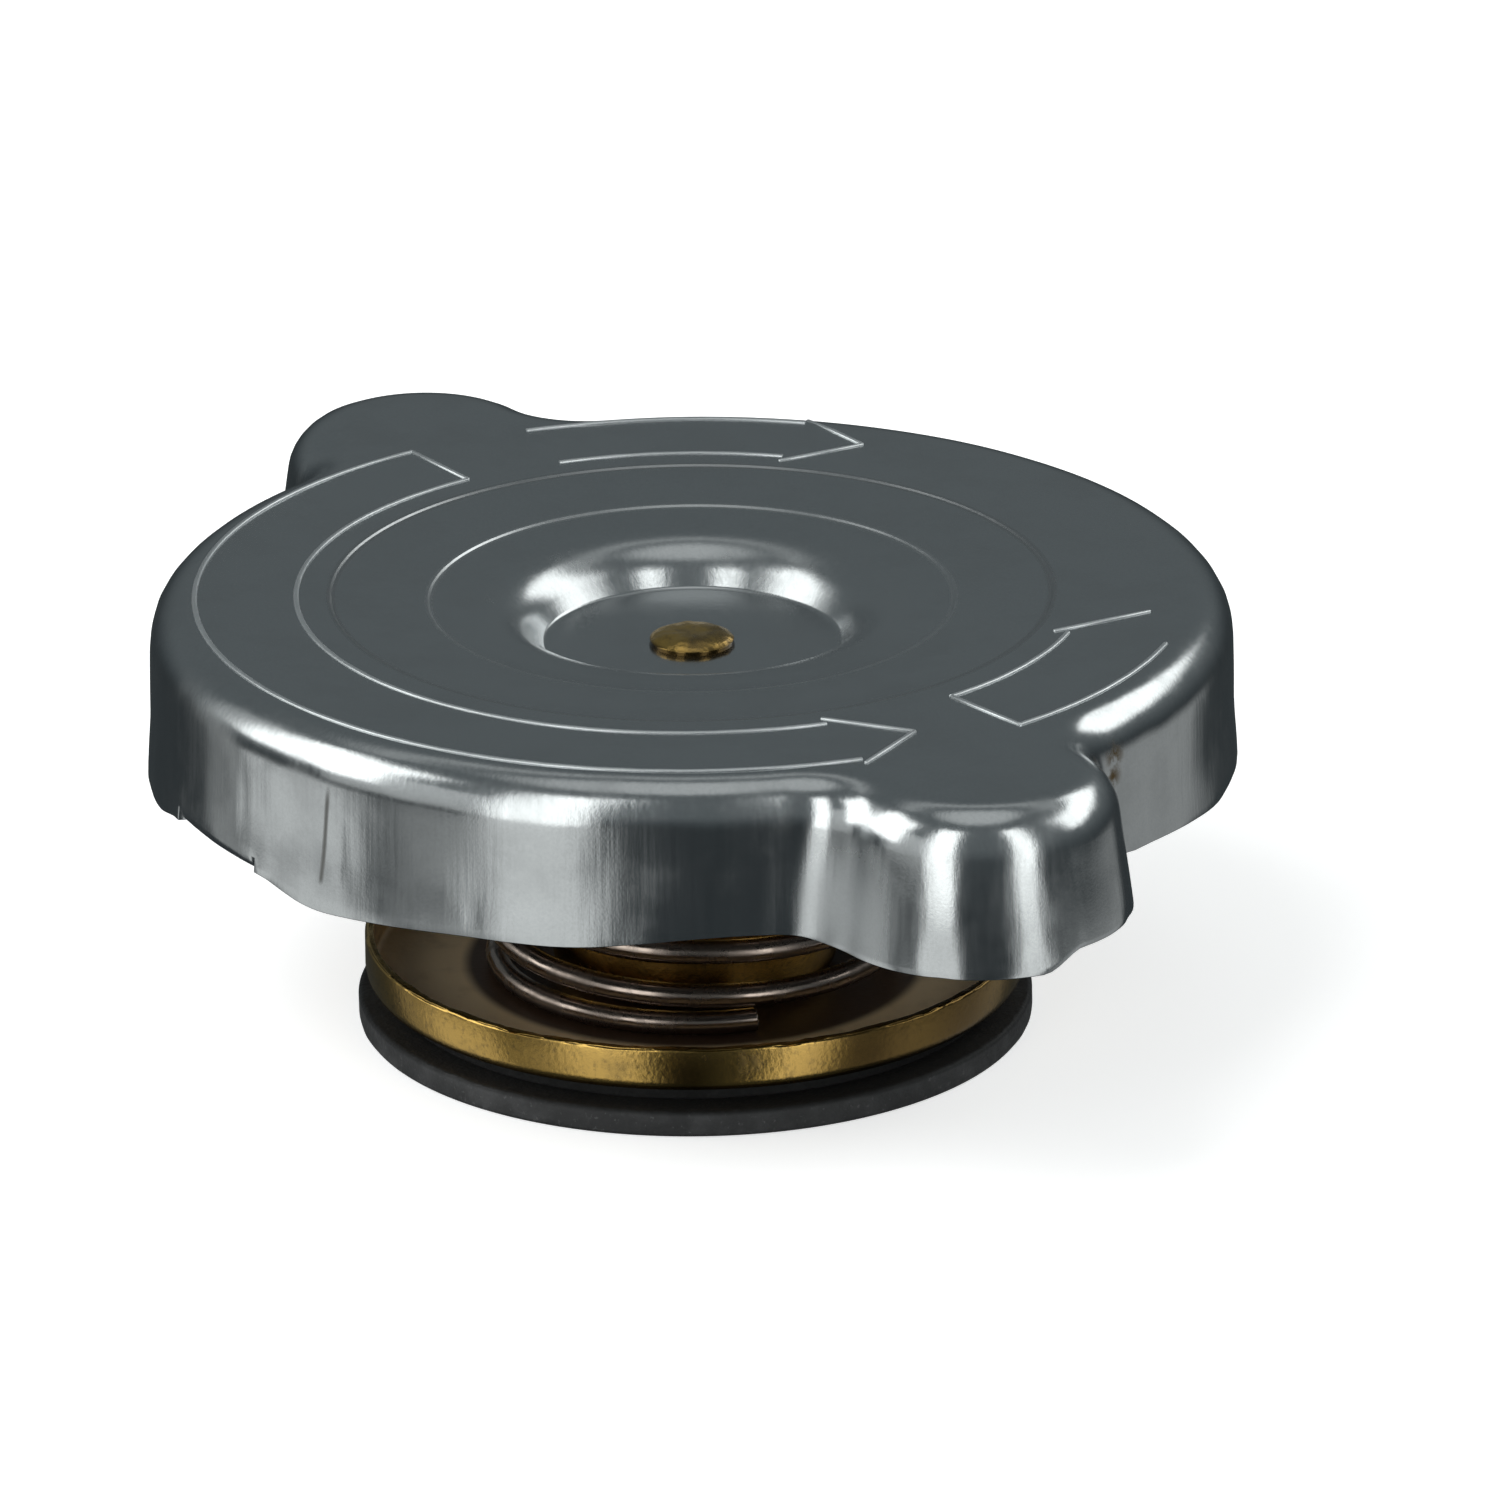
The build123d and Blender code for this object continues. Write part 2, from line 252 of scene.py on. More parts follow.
def draw_marks():
    """Fine lines left by a tool, upright where Stretch is under 1 and level where it is over 1."""
    tree, given, out = group("Draw marks", [
        ("Vector", VECTOR, None), ("Scale", FLOAT, 1500), ("Stretch", FLOAT, 0.05), ("Depth", FLOAT, 0.02)],
        [("Mask", FLOAT), ("Height", FLOAT)])
    stretch = wire_up(tree, "ShaderNodeCombineXYZ", {0: 1, 1: 1, 2: given["Stretch"]}).outputs[0]
    squeezed = wire_up(tree, "ShaderNodeVectorMath", {0: given["Vector"], 1: stretch}, operation="MULTIPLY")
    lines = cloud(tree, squeezed.outputs[0], given["Scale"], 3)
    tree.links.new(lines, out["Mask"])
    tree.links.new(maths(tree, "MULTIPLY", lines, given["Depth"]), out["Height"])
    return tree


def patchy(tree, place, scale, detail, low, high):
    """Mask of the Patches group."""
    return placed(
        tree, GROUPS["Patches"], Vector=place, Scale=scale, Detail=detail, Low=low, High=high)["Mask"]


def material(name, **shader):
    """Material with one Principled shader; returns it with its tree, shader node and Object coordinates."""
    made = bpy.data.materials.new(name)
    made.use_nodes = True
    tree = made.node_tree
    principled = tree.nodes["Principled BSDF"]
    for label, value in shader.items():
        principled.inputs[label.replace("_", " ")].default_value = value
    place = tree.nodes.new("ShaderNodeTexCoord").outputs["Object"]
    return made, tree, principled, place


def blended(tree, factor, first, second):
    """Colour mixed from first to second by factor."""
    node = wire_up(tree, "ShaderNodeMix", {"Factor": factor}, data_type="RGBA")
    for socket, value in ((node.inputs[6], first), (node.inputs[7], second)):
        if isinstance(value, bpy.types.NodeSocket):
            tree.links.new(value, socket)
        else:
            socket.default_value = (*value, 1)
    return node.outputs[2]


def ranged(tree, value, low, high, from_low=0.0, from_high=1.0):
    """Value softly mapped from from_low..from_high to low..high."""
    return wire_up(tree, "ShaderNodeMapRange", {
        "Value": value, "From Min": from_low, "From Max": from_high, "To Min": low, "To Max": high},
        interpolation_type="SMOOTHSTEP").outputs[0]


def bumped(tree, shader, *heights):
    """Chains bumps (height socket, distance in metres) into the shader's Normal."""
    normal = None
    for height, distance in heights:
        inputs = {"Height": height, "Distance": distance, "Strength": 1}
        if normal is not None:
            inputs["Normal"] = normal
        normal = wire_up(tree, "ShaderNodeBump", inputs).outputs[0]
    tree.links.new(normal, shader.inputs["Normal"])


def spot(tree, place, middle, radius):
    """Mask that is 1 at middle (millimetres) and 0 from radius on."""
    middle = [value * MM for value in middle]
    gap = wire_up(tree, "ShaderNodeVectorMath", {0: place, 1: middle}, operation="DISTANCE")
    return ranged(tree, gap.outputs["Value"], 1, 0, from_high=radius * MM)


def axis_distance(tree, place):
    """Distance from the cap's axis."""
    flat = wire_up(tree, "ShaderNodeVectorMath", {0: place, 1: (1, 1, 0)}, operation="MULTIPLY").outputs[0]
    return wire_up(tree, "ShaderNodeVectorMath", {0: flat}, operation="LENGTH").outputs["Value"]


def fold_shade_line(tree, place):
    """Mask of a painted shade line along the thin, slightly slanting fold that the press left in the skirt.
    """
    side = Vector((-sin(FOLD_ANGLE), cos(FOLD_ANGLE), -FOLD_SLANT))
    outward = Vector((cos(FOLD_ANGLE), sin(FOLD_ANGLE), 0))
    middle = (SHELL_TOP - (FOLD_HIGH + FOLD_LOW) / 2) * FOLD_SLANT * MM
    foot, head = SHELL_TOP - FOLD_LOW, SHELL_TOP - FOLD_HIGH
    across = maths(tree, "ABSOLUTE", maths(tree, "ADD", distance_along(tree, place, side), middle))
    height = height_of(tree, place)
    thin = ranged(tree, across, 1, 0, from_low=FOLD_CORE * MM, from_high=FOLD_HALF * MM)
    low = ranged(tree, height, 0, 1, from_low=(foot - 0.6) * MM, from_high=foot * MM)
    high = ranged(tree, height, 1, 0, from_low=head * MM, from_high=(head + 1.5) * MM)
    outer = ranged(tree, distance_along(tree, place, outward), 0, 1, from_low=30 * MM, from_high=31 * MM)
    return chained(tree, "MULTIPLY", thin, outer, low, high)


def shell_wear_and_shade(tree, place, colour, rough):
    """Adds the stain, the fold with its painted shade line, the dull flank and the worn steps, with a painted
    shade line at the outer step, to the shell's colour and roughness.
    """
    stain = maths(tree, "MAXIMUM", spot(tree, place, STAIN, STAIN_R),
                  spot(tree, place, STAIN_LOW, STAIN_LOW_R))
    rust = maths(tree, "MULTIPLY", stain, patchy(tree, place, 1500, 3, 0.35, 0.6))
    fold = fold_shade_line(tree, place)
    colour = blended(tree, rust, colour, RUST)
    # Painted shade: the fold's mask darkens the colour into a shade line along the crease.
    colour = blended(tree, maths(tree, "MULTIPLY", fold, 0.7), colour, FOLD_SHADE)
    rubbed = chained(tree, "MAXIMUM", spot(tree, place, FLANK, FLANK_R), rust, fold)
    rough = raised(tree, rough, rubbed, 0.3)
    radius = axis_distance(tree, place)
    dish = maths(tree, "MULTIPLY",
                 ranged(tree, radius, 0, 1, from_low=DISH_IN[0] * MM, from_high=DISH_IN[1] * MM),
                 ranged(tree, radius, 1, 0, from_low=DISH_OUT[0] * MM, from_high=DISH_OUT[1] * MM))
    rough = raised(tree, rough, dish, 0.04)
    for step_r, dullness, painted_shade in STEP_MARKS:
        beside = maths(tree, "ABSOLUTE", maths(tree, "SUBTRACT", radius, step_r * MM))
        near = ranged(tree, beside, 1, 0, from_low=STEP_CORE * MM, from_high=STEP_HALF * MM)
        rough = raised(tree, rough, near, dullness)
        # Painted shade: the outer step's edge is darkened into a shade line.
        colour = blended(tree, maths(tree, "MULTIPLY", near, painted_shade), colour, STEP_SHADE)
    return colour, rough


def plating(name, roughness, mark_depth, worn=True, metal=1.0, shade=1.0):
    """Bright zinc plating over pressed steel: cloudy grain, draw marks on the walls, dull patches."""
    made, tree, shader, place = material(name, Metallic=metal)
    marks = placed(tree, GROUPS["Draw marks"], Vector=place, Scale=2600, Stretch=0.03, Depth=1.0)
    dull = patchy(tree, place, 180, 5, 0.42, 0.72)
    grain = cloud(tree, place, 5200, 2)
    clean = tuple(value * shade for value in bpy.context.scene.cap_colours.plating)
    dark = tuple(value * 0.82 for value in clean)
    colour = blended(tree, maths(tree, "MULTIPLY", dull, 0.5), clean, dark)
    colour = blended(tree, ranged(tree, grain, 0, 0.25, from_low=0.4, from_high=0.7), colour, dark)
    rough = maths(tree, "ADD", ranged(tree, dull, roughness, roughness + 0.07),
                  ranged(tree, marks["Mask"], -0.03, 0.05))
    if worn:
        colour, rough = shell_wear_and_shade(tree, place, colour, rough)
    tree.links.new(colour, shader.inputs["Base Color"])
    tree.links.new(rough, shader.inputs["Roughness"])
    swell = cloud(tree, place, 260, 2)
    bumped(tree, shader, (swell, 0.00002), (marks["Height"], mark_depth * MM), (grain, 0.000003))
    return made


def brass(name, roughness, tarnish_low, tarnish_high, shade=1.0, brown_marks=(), dark_below=None, dish=None):
    """Brass with tarnish patches and small pits.

    Brown spots, each a middle and a radius, stand for tarnish, and on the front of the plate's rim for a
    painted dark reflection. Below the height dark_below it is nearly black, a painted contact shade.
    dish holds two radii: within the first the brass is dull and brown, within the second nearly black, a
    painted shade under the spring.
    """
    colours = bpy.context.scene.cap_colours
    made, tree, shader, place = material(name, Metallic=1.0)
    tarnish = patchy(tree, place, 330, 6, tarnish_low, tarnish_high)
    fine = patchy(tree, place, 2300, 3, 0.5, 0.75)
    clean = tuple(value * shade for value in colours.brass)
    dirty = tuple(value * shade for value in colours.tarnish)
    colour = blended(tree, tarnish, clean, dirty)
    colour = blended(tree, maths(tree, "MULTIPLY", fine, 0.45), colour, dirty)
    # Brown spots: tarnish, and on the front of the plate's rim a painted dark reflection.
    for middle, radius in brown_marks:
        brown = maths(tree, "MULTIPLY", spot(tree, place, middle, radius), 0.9)
        colour = blended(tree, brown, colour, TARNISH_AND_REFLECTION_BROWN)
    rough = ranged(tree, tarnish, roughness, roughness + 0.16)
    # Painted contact shade: below dark_below the brass is nearly black.
    if dark_below:
        low = ranged(tree, height_of(tree, place), 0.92, 0,
                     from_low=(dark_below - 0.12) * MM, from_high=(dark_below + 0.12) * MM)
        colour = blended(tree, low, colour, SHADED_BRASS)
    if dish:
        dull_r, dark_r = dish
        radius = axis_distance(tree, place)
        inside = ranged(tree, radius, 1, 0, from_low=(dull_r - 0.1) * MM, from_high=(dull_r + 0.1) * MM)
        colour = blended(tree, inside, colour, blended(tree, tarnish, DULL_BRASS, DULL_TARNISH))
        # Painted shade under the spring: the disc within the second radius is nearly black.
        spring_shade = ranged(tree, radius, 1, 0, from_low=(dark_r - 0.5) * MM, from_high=(dark_r + 0.5) * MM)
        colour = blended(tree, spring_shade, colour, PAINTED_SPRING_SHADE)
        rough = raised(tree, rough, inside, 0.2)
        tree.links.new(ranged(tree, inside, 1.0, 0.15), shader.inputs["Metallic"])
    tree.links.new(colour, shader.inputs["Base Color"])
    tree.links.new(rough, shader.inputs["Roughness"])
    bumped(tree, shader, (cloud(tree, place, 3000, 4), 0.00002), (tarnish, 0.000008))
    return made


def steel(name, colour, roughness, streak):
    """Oiled spring steel or plain bright steel, with lines along the wire's draw direction."""
    made, tree, shader, place = material(name, Metallic=1.0)
    stained = patchy(tree, place, 420, 5, 0.35, 0.7)
    marks = placed(tree, GROUPS["Draw marks"], Vector=place, Scale=1800, Stretch=6.0, Depth=1.0)
    dark = tuple(value * 0.55 for value in colour)
    tree.links.new(blended(tree, stained, colour, dark), shader.inputs["Base Color"])
    rough = maths(tree, "ADD", ranged(tree, stained, roughness, roughness + 0.15),
                  ranged(tree, marks["Mask"], 0, 0.06))
    tree.links.new(rough, shader.inputs["Roughness"])
    bumped(tree, shader, (marks["Height"], streak * MM))
    return made


def rubber(name, tint=1.0, dark_above=None):
    """Moulded rubber: fine grain, pale dust specks and rubbed patches; above the height dark_above it is
    nearly black, a painted shade.
    """
    made, tree, shader, place = material(name, Metallic=0.0, Specular_IOR_Level=0.4)
    clean = tuple(value * tint for value in bpy.context.scene.cap_colours.rubber)
    rubbed = patchy(tree, place, 260, 6, 0.4, 0.75)
    dust = patchy(tree, place, 2400, 3, 0.60, 0.72)
    colour = blended(tree, rubbed, clean, tuple(value * 2.1 for value in clean))
    colour = blended(tree, maths(tree, "MULTIPLY", dust, 0.4), colour, DUST)
    # Painted shade under the plate's rim: above dark_above the rubber is nearly black.
    if dark_above:
        rim_shade = ranged(tree, height_of(tree, place), 0, 0.85,
                     from_low=(dark_above - 0.25) * MM, from_high=dark_above * MM)
        colour = blended(tree, rim_shade, colour, PAINTED_RIM_SHADE)
    tree.links.new(colour, shader.inputs["Base Color"])
    tree.links.new(ranged(tree, rubbed, 0.62, 0.5), shader.inputs["Roughness"])
    bumped(tree, shader, (cloud(tree, place, 700, 3), 0.00012), (cloud(tree, place, 2800, 4), 0.00004))
    return made


# Mesh helpers


def spread(first, last, steps):
    """Even values from first to last, both included."""
    return [first + (last - first) * step / steps for step in range(steps + 1)]


def share_of(value, low, high):
    """How far a value has come from low to high, kept between 0 and 1."""
    return min(1, max(0, (value - low) / (high - low)))


def eased(share):
    """Share between 0 and 1 with a soft start and end."""
    return share * share * (3 - 2 * share)


def finished(name, bm, made, body, smooth=radians(35), stands_for=()):
    """Turns a bmesh drawn in millimetres into a piece with its material and body, hiding the imported parts
    it stands for.
    """
    bmesh.ops.scale(bm, vec=(MM, MM, MM), verts=bm.verts)
    mesh = bpy.data.meshes.new(name)
    bm.to_mesh(mesh)
    bm.free()
    mesh.materials.append(made)
    mesh.shade_smooth()
    mesh.set_sharp_from_angle(angle=smooth)
    piece = bpy.data.objects.new(name, mesh)
    bpy.context.scene.collection.objects.link(piece)
    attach(piece, body)
    if stands_for:
        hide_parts(*stands_for)
    return piece


def edge_round(piece, width, angle=40):
    """Live bevel on the piece's sharp edges, width in millimetres."""
    bevel = piece.modifiers.new("Edge round", "BEVEL")
    bevel.width = width * MM
    bevel.segments = 2
    bevel.limit_method = "ANGLE"
    bevel.angle_limit = radians(angle)
    bevel.use_clamp_overlap = False
    bevel.harden_normals = False


def lathe(points, steps, closed=True):
    """Bmesh of a (radius, height) outline spun round the axis."""
    bm = bmesh.new()
    verts = [bm.verts.new((radius, 0, height)) for radius, height in points]
    for first, second in zip(verts, verts[1:] + verts[:1] * closed):
        bm.edges.new((first, second))
    bmesh.ops.spin(
        bm, geom=bm.verts[:] + bm.edges[:], cent=(0, 0, 0), axis=(0, 0, 1), dvec=(0, 0, 0),
        angle=2 * pi, steps=steps, use_merge=True)
    bmesh.ops.remove_doubles(bm, verts=bm.verts, dist=0.0005)
    bmesh.ops.recalc_face_normals(bm, faces=bm.faces)
    return bm


def softened(points, rounds, steps=4):
    """Outline with round corners; rounds maps a point's number to its radius."""
    result = []
    for number, point in enumerate(points):
        if number not in rounds:
            result.append(point)
            continue
        corner = Vector(point)
        before = (Vector(points[number - 1]) - corner).normalized()
        after = (Vector(points[(number + 1) % len(points)]) - corner).normalized()
        half = before.angle(after) / 2
        reach = rounds[number] / tan(half)
        middle = corner + (before + after).normalized() * (rounds[number] / sin(half))
        first = corner + before * reach - middle
        turn = first.angle_signed(corner + after * reach - middle)
        for angle in spread(0, turn, steps):
            result.append(tuple(middle + Matrix.Rotation(-angle, 2) @ first))
    return result


def uneven(point, height, size, seed):
    """Smooth unevenness, up to about height and with bumps about size millimetres wide."""
    return height * noise.noise(Vector(point) / size + Vector((seed, seed * 1.7, seed * 0.3)))


# Shell

# Centre dish, its raised lip and the two stamped steps of the top
RIVET_HOLE_R = 1.96
DISH_R, DISH_DEPTH, LIP_R, LIP_DEPTH = 9.9, 3.7, 11.6, 1.25
INNER_STEP_R, OUTER_STEP_R, STEP_EDGE = 17.47, 23.97, 0.07
FLAT_R = 25.6

# Edges of the two stamped steps: radius, added roughness of their wear, share of painted shade, and half
# widths of the marks
STEP_MARKS = [(INNER_STEP_R, 0.13, 0.0), (OUTER_STEP_R, 0.13, 0.28)]
STEP_CORE, STEP_HALF = 0.15, 0.4

# Columns of a quarter of the plan, and rows of the rounding, a claw's fold and the part beside the slits
EAR_STEPS, BLEND_STEPS, WALL_STEPS, CLAW_STEPS = 28, 12, 84, 14
ROUND_STEPS, FOLD_STEPS, EARLY_FOLD_STEPS = 8, 8, 2

# Claws: half angles of the claw and of its gap, and the run beside it that leans with it
CLAW_HALF, SLIT_HALF, CLAW_BLEND = radians(8.0), radians(8.45), radians(3.0)
ANGLE_GAP = 1e-4
# Depth of the claws' flat tabs, how far they reach in, and how far the wall above them leans out
CLAW_DEPTH, CLAW_REACH, CLAW_LEAN = 11.05, 5.2, 0.12

# Skirt: belly and flare of its wall, depths below the top, and where the ears start
WALL_BELLY, EAR_BELLY, LOW_FLARE, FLARE_DEPTH = 0.06, 0.16, 0.3, 7.0
BULGE_DEPTH, SLIT_DEPTH, DEEPEST = 5.5, 10.0, 12.1
CLAW_BEND = CLAW_DEPTH - SLIT_DEPTH
EAR_FROM, EAR_TO = 30.0, 36.0
WALL_MARKS = [4.0, 4.9, 5.8, 6.7, 7.6, 8.5, 9.3, SLIT_DEPTH]

# Depth of the lower edge by distance from the ears' cross line, and the run over which it is smoothed
RIM_MARKS = [
    (0, 10.9), (5.4, 10.9), (10.44, 12.1), (14.7, 11.8), (21.4, 11.3), (27.0, 11.3), (31.5, 10.4),
    (33.5, 10.2), (36.0, 10.9), (60, 10.9),
]
RIM_SMOOTH = 1.2

# Shorter flank of each ear: how much shorter, between which angles round the ear, and where the ear starts
EAR_RIM, EAR_NOTCH = 10.9, 1.3
NOTCH_FROM, NOTCH_TO = radians(-6), radians(11)
NOTCH_EAR_FROM, NOTCH_EAR_TO = 33, 36

# Dents of the skirt: angle, half width and depth, and between which depths below the top
CREASES = [
    (-71.1, 0.55, 0.04, 4.2, 10.2), (-69.2, 1.2, -0.05, 5.0, 10.0), (-83.9, 1.6, 0.03, 3.4, 9.5),
    (-53.0, 0.6, 0.04, 8.6, 11.4), (-9.0, 1.2, 0.16, 8.5, 12.0), (9.0, 1.3, 0.15, 8.6, 12.0),
    (109, 2.0, 0.15, 4, 9), (65, 1.4, 0.16, 6, 11), (164, 2.4, 0.12, 4, 10), (214, 1.6, 0.16, 5, 11),
]
CREASE_RUN = 1.2

# Swells of the sheet: height, size and seed, and for the skirt how much they change along its depth
SKIRT_SWELLS = [((0.10, 7.0, 3.1), 0.25), ((0.05, 2.6, 8.4), 0.5)]
TOP_SWELL, TOP_SINK = (0.035, 9.0, 5.5), 0.02

# Depths where the skirt's unevenness starts and is full, and radii beyond which skirt and top have theirs
UNEVEN_FROM, UNEVEN_FULL, SKIRT_R, TOP_R = 0.3, 3.3, 30, 25


def ear_notch(x, y):
    """How much shorter the skirt is on one flank of each ear."""
    angle = atan2(y if x > 0 else -y, abs(x) - bpy.context.scene.cap_sizes.ear_x)
    on_ear = share_of(abs(x), NOTCH_EAR_FROM, NOTCH_EAR_TO)
    return EAR_NOTCH * on_ear * eased(share_of(angle, NOTCH_FROM, NOTCH_TO))


def shortened(x, y, depth):
    """Depth of a row, moved up in the columns of an ear's shorter flank."""
    below = max(0, depth - BULGE_DEPTH)
    return depth - below * ear_notch(x, y) / (EAR_RIM - BULGE_DEPTH)


def rim_depth(x):
    """Depth of the skirt's lower edge below the top at a distance from the ears' cross line."""
    samples = [abs(abs(x) + step) for step in spread(-RIM_SMOOTH, RIM_SMOOTH, 4)]
    total = 0
    for value in samples:
        for (low_x, low), (high_x, high) in zip(RIM_MARKS, RIM_MARKS[1:]):
            if low_x <= value < high_x:
                total += low + (high - low) * (value - low_x) / (high_x - low_x)
    return total / len(samples)


def quarter(inset, depth):
    """Points of the cap's plan from an ear's tip to a claw's middle, moved in by inset, at a depth."""
    sizes = bpy.context.scene.cap_sizes
    wall = sizes.wall_r - inset
    ear = sizes.ear_r - inset + tan(sizes.ear_flare) * depth
    blend = sizes.ear_blend + inset
    mid_x = ((wall + blend) ** 2 - (ear + blend) ** 2 + sizes.ear_x ** 2) / (2 * sizes.ear_x)
    mid_y = sqrt((wall + blend) ** 2 - mid_x ** 2)
    on_ear = atan2(mid_y, mid_x - sizes.ear_x)
    on_wall = atan2(mid_y, mid_x)
    points = [(sizes.ear_x + ear * cos(a), ear * sin(a)) for a in spread(0, on_ear, EAR_STEPS)]
    turns = spread(on_ear + pi, on_wall + pi, BLEND_STEPS)[1:]
    points += [(mid_x + blend * cos(a), mid_y + blend * sin(a)) for a in turns]
    turns = spread(on_wall, pi / 2 - SLIT_HALF, WALL_STEPS)[1:]
    turns += spread(pi / 2 - CLAW_HALF, pi / 2, CLAW_STEPS)
    return points + [(wall * cos(a), wall * sin(a)) for a in turns]


def plan(inset, depth):
    """Whole plan of the cap, one point for each column of the skin."""
    first = quarter(inset, depth)
    second = [(-x, y) for x, y in reversed(first)]
    back = first[:-1] + second[:-1]
    return back + [(-x, -y) for x, y in back]


def top_rows():
    """Rows of the skin from the rivet's hole to the flat top: dish, its lip and two stamped steps."""
    outline = [
        (RIVET_HOLE_R, -DISH_DEPTH), (4.0, -DISH_DEPTH), (7.0, -DISH_DEPTH), (DISH_R, -DISH_DEPTH),
        (LIP_R, -LIP_DEPTH), (13.6, -0.95), (15.2, -0.82), (INNER_STEP_R - STEP_EDGE, -0.62),
        (INNER_STEP_R + STEP_EDGE, -0.5), (20.5, -0.34), (OUTER_STEP_R - STEP_EDGE, -0.12),
        (OUTER_STEP_R + STEP_EDGE, 0.0), (FLAT_R, 0.0),
    ]
    outline = softened(outline, {3: 0.45, 4: 4.0, 7: 0.1, 8: 0.1, 10: 0.1, 11: 0.1}, 6)
    edge = [Vector(point) for point in plan(bpy.context.scene.cap_sizes.top_round, 0)]
    ways = [point.normalized() for point in edge]
    rows = [[Vector((*(way * radius), SHELL_TOP + height)) for way in ways] for radius, height in outline]
    flat_row = rows[-1]
    for share in (0.25, 0.5, 0.75):
        rows.append([inner.lerp(Vector((*point, SHELL_TOP)), share) for inner, point in zip(flat_row, edge)])
    return rows


def wall_push(depth, x=0):
    """How far the wall stands out from its radius: a belly, and a flared lower edge except on the ears."""
    top = bpy.context.scene.cap_sizes.top_round
    on_ear = share_of(abs(x), EAR_FROM, EAR_TO)
    belly = (WALL_BELLY + (EAR_BELLY - WALL_BELLY) * on_ear) * sin(pi * share_of(depth, top, DEEPEST))
    return belly + LOW_FLARE * (1 - on_ear) * eased(share_of(depth, FLARE_DEPTH, DEEPEST))


def pushed(x, y, depth):
    """Point of the skirt's plain outline moved out by the wall's push."""
    grow = 1 + wall_push(depth, x) / hypot(x, y)
    return x * grow, y * grow


def claw_share(x, y):
    """1 in a claw's columns, falling to 0 beside them."""
    return eased(1 - share_of(claw_turn(x, y), CLAW_HALF, CLAW_HALF + CLAW_BLEND))


def claw_turn(x, y):
    """Angle between a point and the middle of the nearer claw."""
    return atan2(abs(x), abs(y))


def in_claw(x, y):
    """Whether a point of the plan belongs to a claw."""
    return claw_turn(x, y) <= CLAW_HALF + ANGLE_GAP


def leaning(x, y, depth):
    """Point of the wall; beside and in the claws it leans outwards."""
    lean = CLAW_LEAN * claw_share(x, y) * max(0, depth - BULGE_DEPTH) / (CLAW_DEPTH - BULGE_DEPTH)
    grow = 1 + lean / bpy.context.scene.cap_sizes.wall_r
    return Vector((x * grow, y * grow, SHELL_TOP - depth))


def fold_point(x, y, angle):
    """Point on the round fold of a claw, angle from the wall towards the flat tab."""
    wall_r = hypot(x, y)
    shrink = 1 - CLAW_BEND * (1 - cos(angle)) / wall_r
    return leaning(x * shrink, y * shrink, SLIT_DEPTH + CLAW_BEND * sin(angle))


def wall_rows():
    """Rows of the skin over the top edge and down the wall, and the number of the slits' first row."""
    sizes = bpy.context.scene.cap_sizes
    rows = []
    for angle in spread(pi / 2, 0, ROUND_STEPS):
        inset = sizes.top_round * (1 - cos(angle))
        depth = sizes.top_round * (1 - sin(angle))
        rows.append([Vector((x, y, SHELL_TOP - depth)) for x, y in plan(inset, depth)])
    for mark in WALL_MARKS:
        row = []
        for x, y in plan(0, mark):
            depth = shortened(x, y, mark)
            row.append(leaning(*pushed(x, y, depth), depth))
        rows.append(row)
    slit_row = len(rows) - 1
    for step in range(1, EARLY_FOLD_STEPS + 1):
        row = []
        for (x, y), (low_x, low_y) in zip(plan(0, SLIT_DEPTH), plan(0, DEEPEST)):
            if in_claw(x, y):
                row.append(fold_point(*pushed(x, y, SLIT_DEPTH), pi / 2 * step / FOLD_STEPS))
            else:
                depth = SLIT_DEPTH + (rim_depth(x) - SLIT_DEPTH) * step / EARLY_FOLD_STEPS
                share = (depth - SLIT_DEPTH) / (DEEPEST - SLIT_DEPTH)
                depth = shortened(x, y, depth)
                row.append(leaning(*pushed(x + (low_x - x) * share, y + (low_y - y) * share, depth), depth))
        rows.append(row)
    return rows, slit_row


def next_row(bm, edges, targets):
    """Extrudes a row of edges and moves each new point to its target; targets maps old point to place."""
    made = bmesh.ops.extrude_edge_only(bm, edges=edges)["geom"]
    fresh = {item for item in made if isinstance(item, bmesh.types.BMVert)}
    onward = {}
    for vert, place in targets.items():
        twin = next(edge.other_vert(vert) for edge in vert.link_edges if edge.other_vert(vert) in fresh)
        twin.co = place
        onward[vert] = twin
    made_edges = [item for item in made if isinstance(item, bmesh.types.BMEdge)]
    return onward, [edge for edge in made_edges if fresh.issuperset(edge.verts)]


def pressing_marks(bm):
    """Unevenness of the pressed sheet: long swells, a fold and small dents in the skirt."""
    for vert in bm.verts:
        x, y, z = vert.co
        radius = hypot(x, y)
        depth = SHELL_TOP - z
        if depth > UNEVEN_FROM and radius > SKIRT_R:
            angle = degrees(atan2(y, x))
            push = sum(uneven((x, y, z * change), *swell) for swell, change in SKIRT_SWELLS)
            for middle, half, deep, low, high in CREASES:
                near = max(0, 1 - abs((angle - middle + 180) % 360 - 180) / half)
                tall = share_of(depth, low, low + CREASE_RUN) * share_of(depth, high, high - CREASE_RUN)
                push -= deep * eased(near) * tall
            vert.co += Vector((x, y, 0)) / radius * push * share_of(depth, UNEVEN_FROM, UNEVEN_FULL)
        elif depth < UNEVEN_FROM and radius > TOP_R:
            vert.co.z += uneven((x, y, 0), *TOP_SWELL) - TOP_SINK


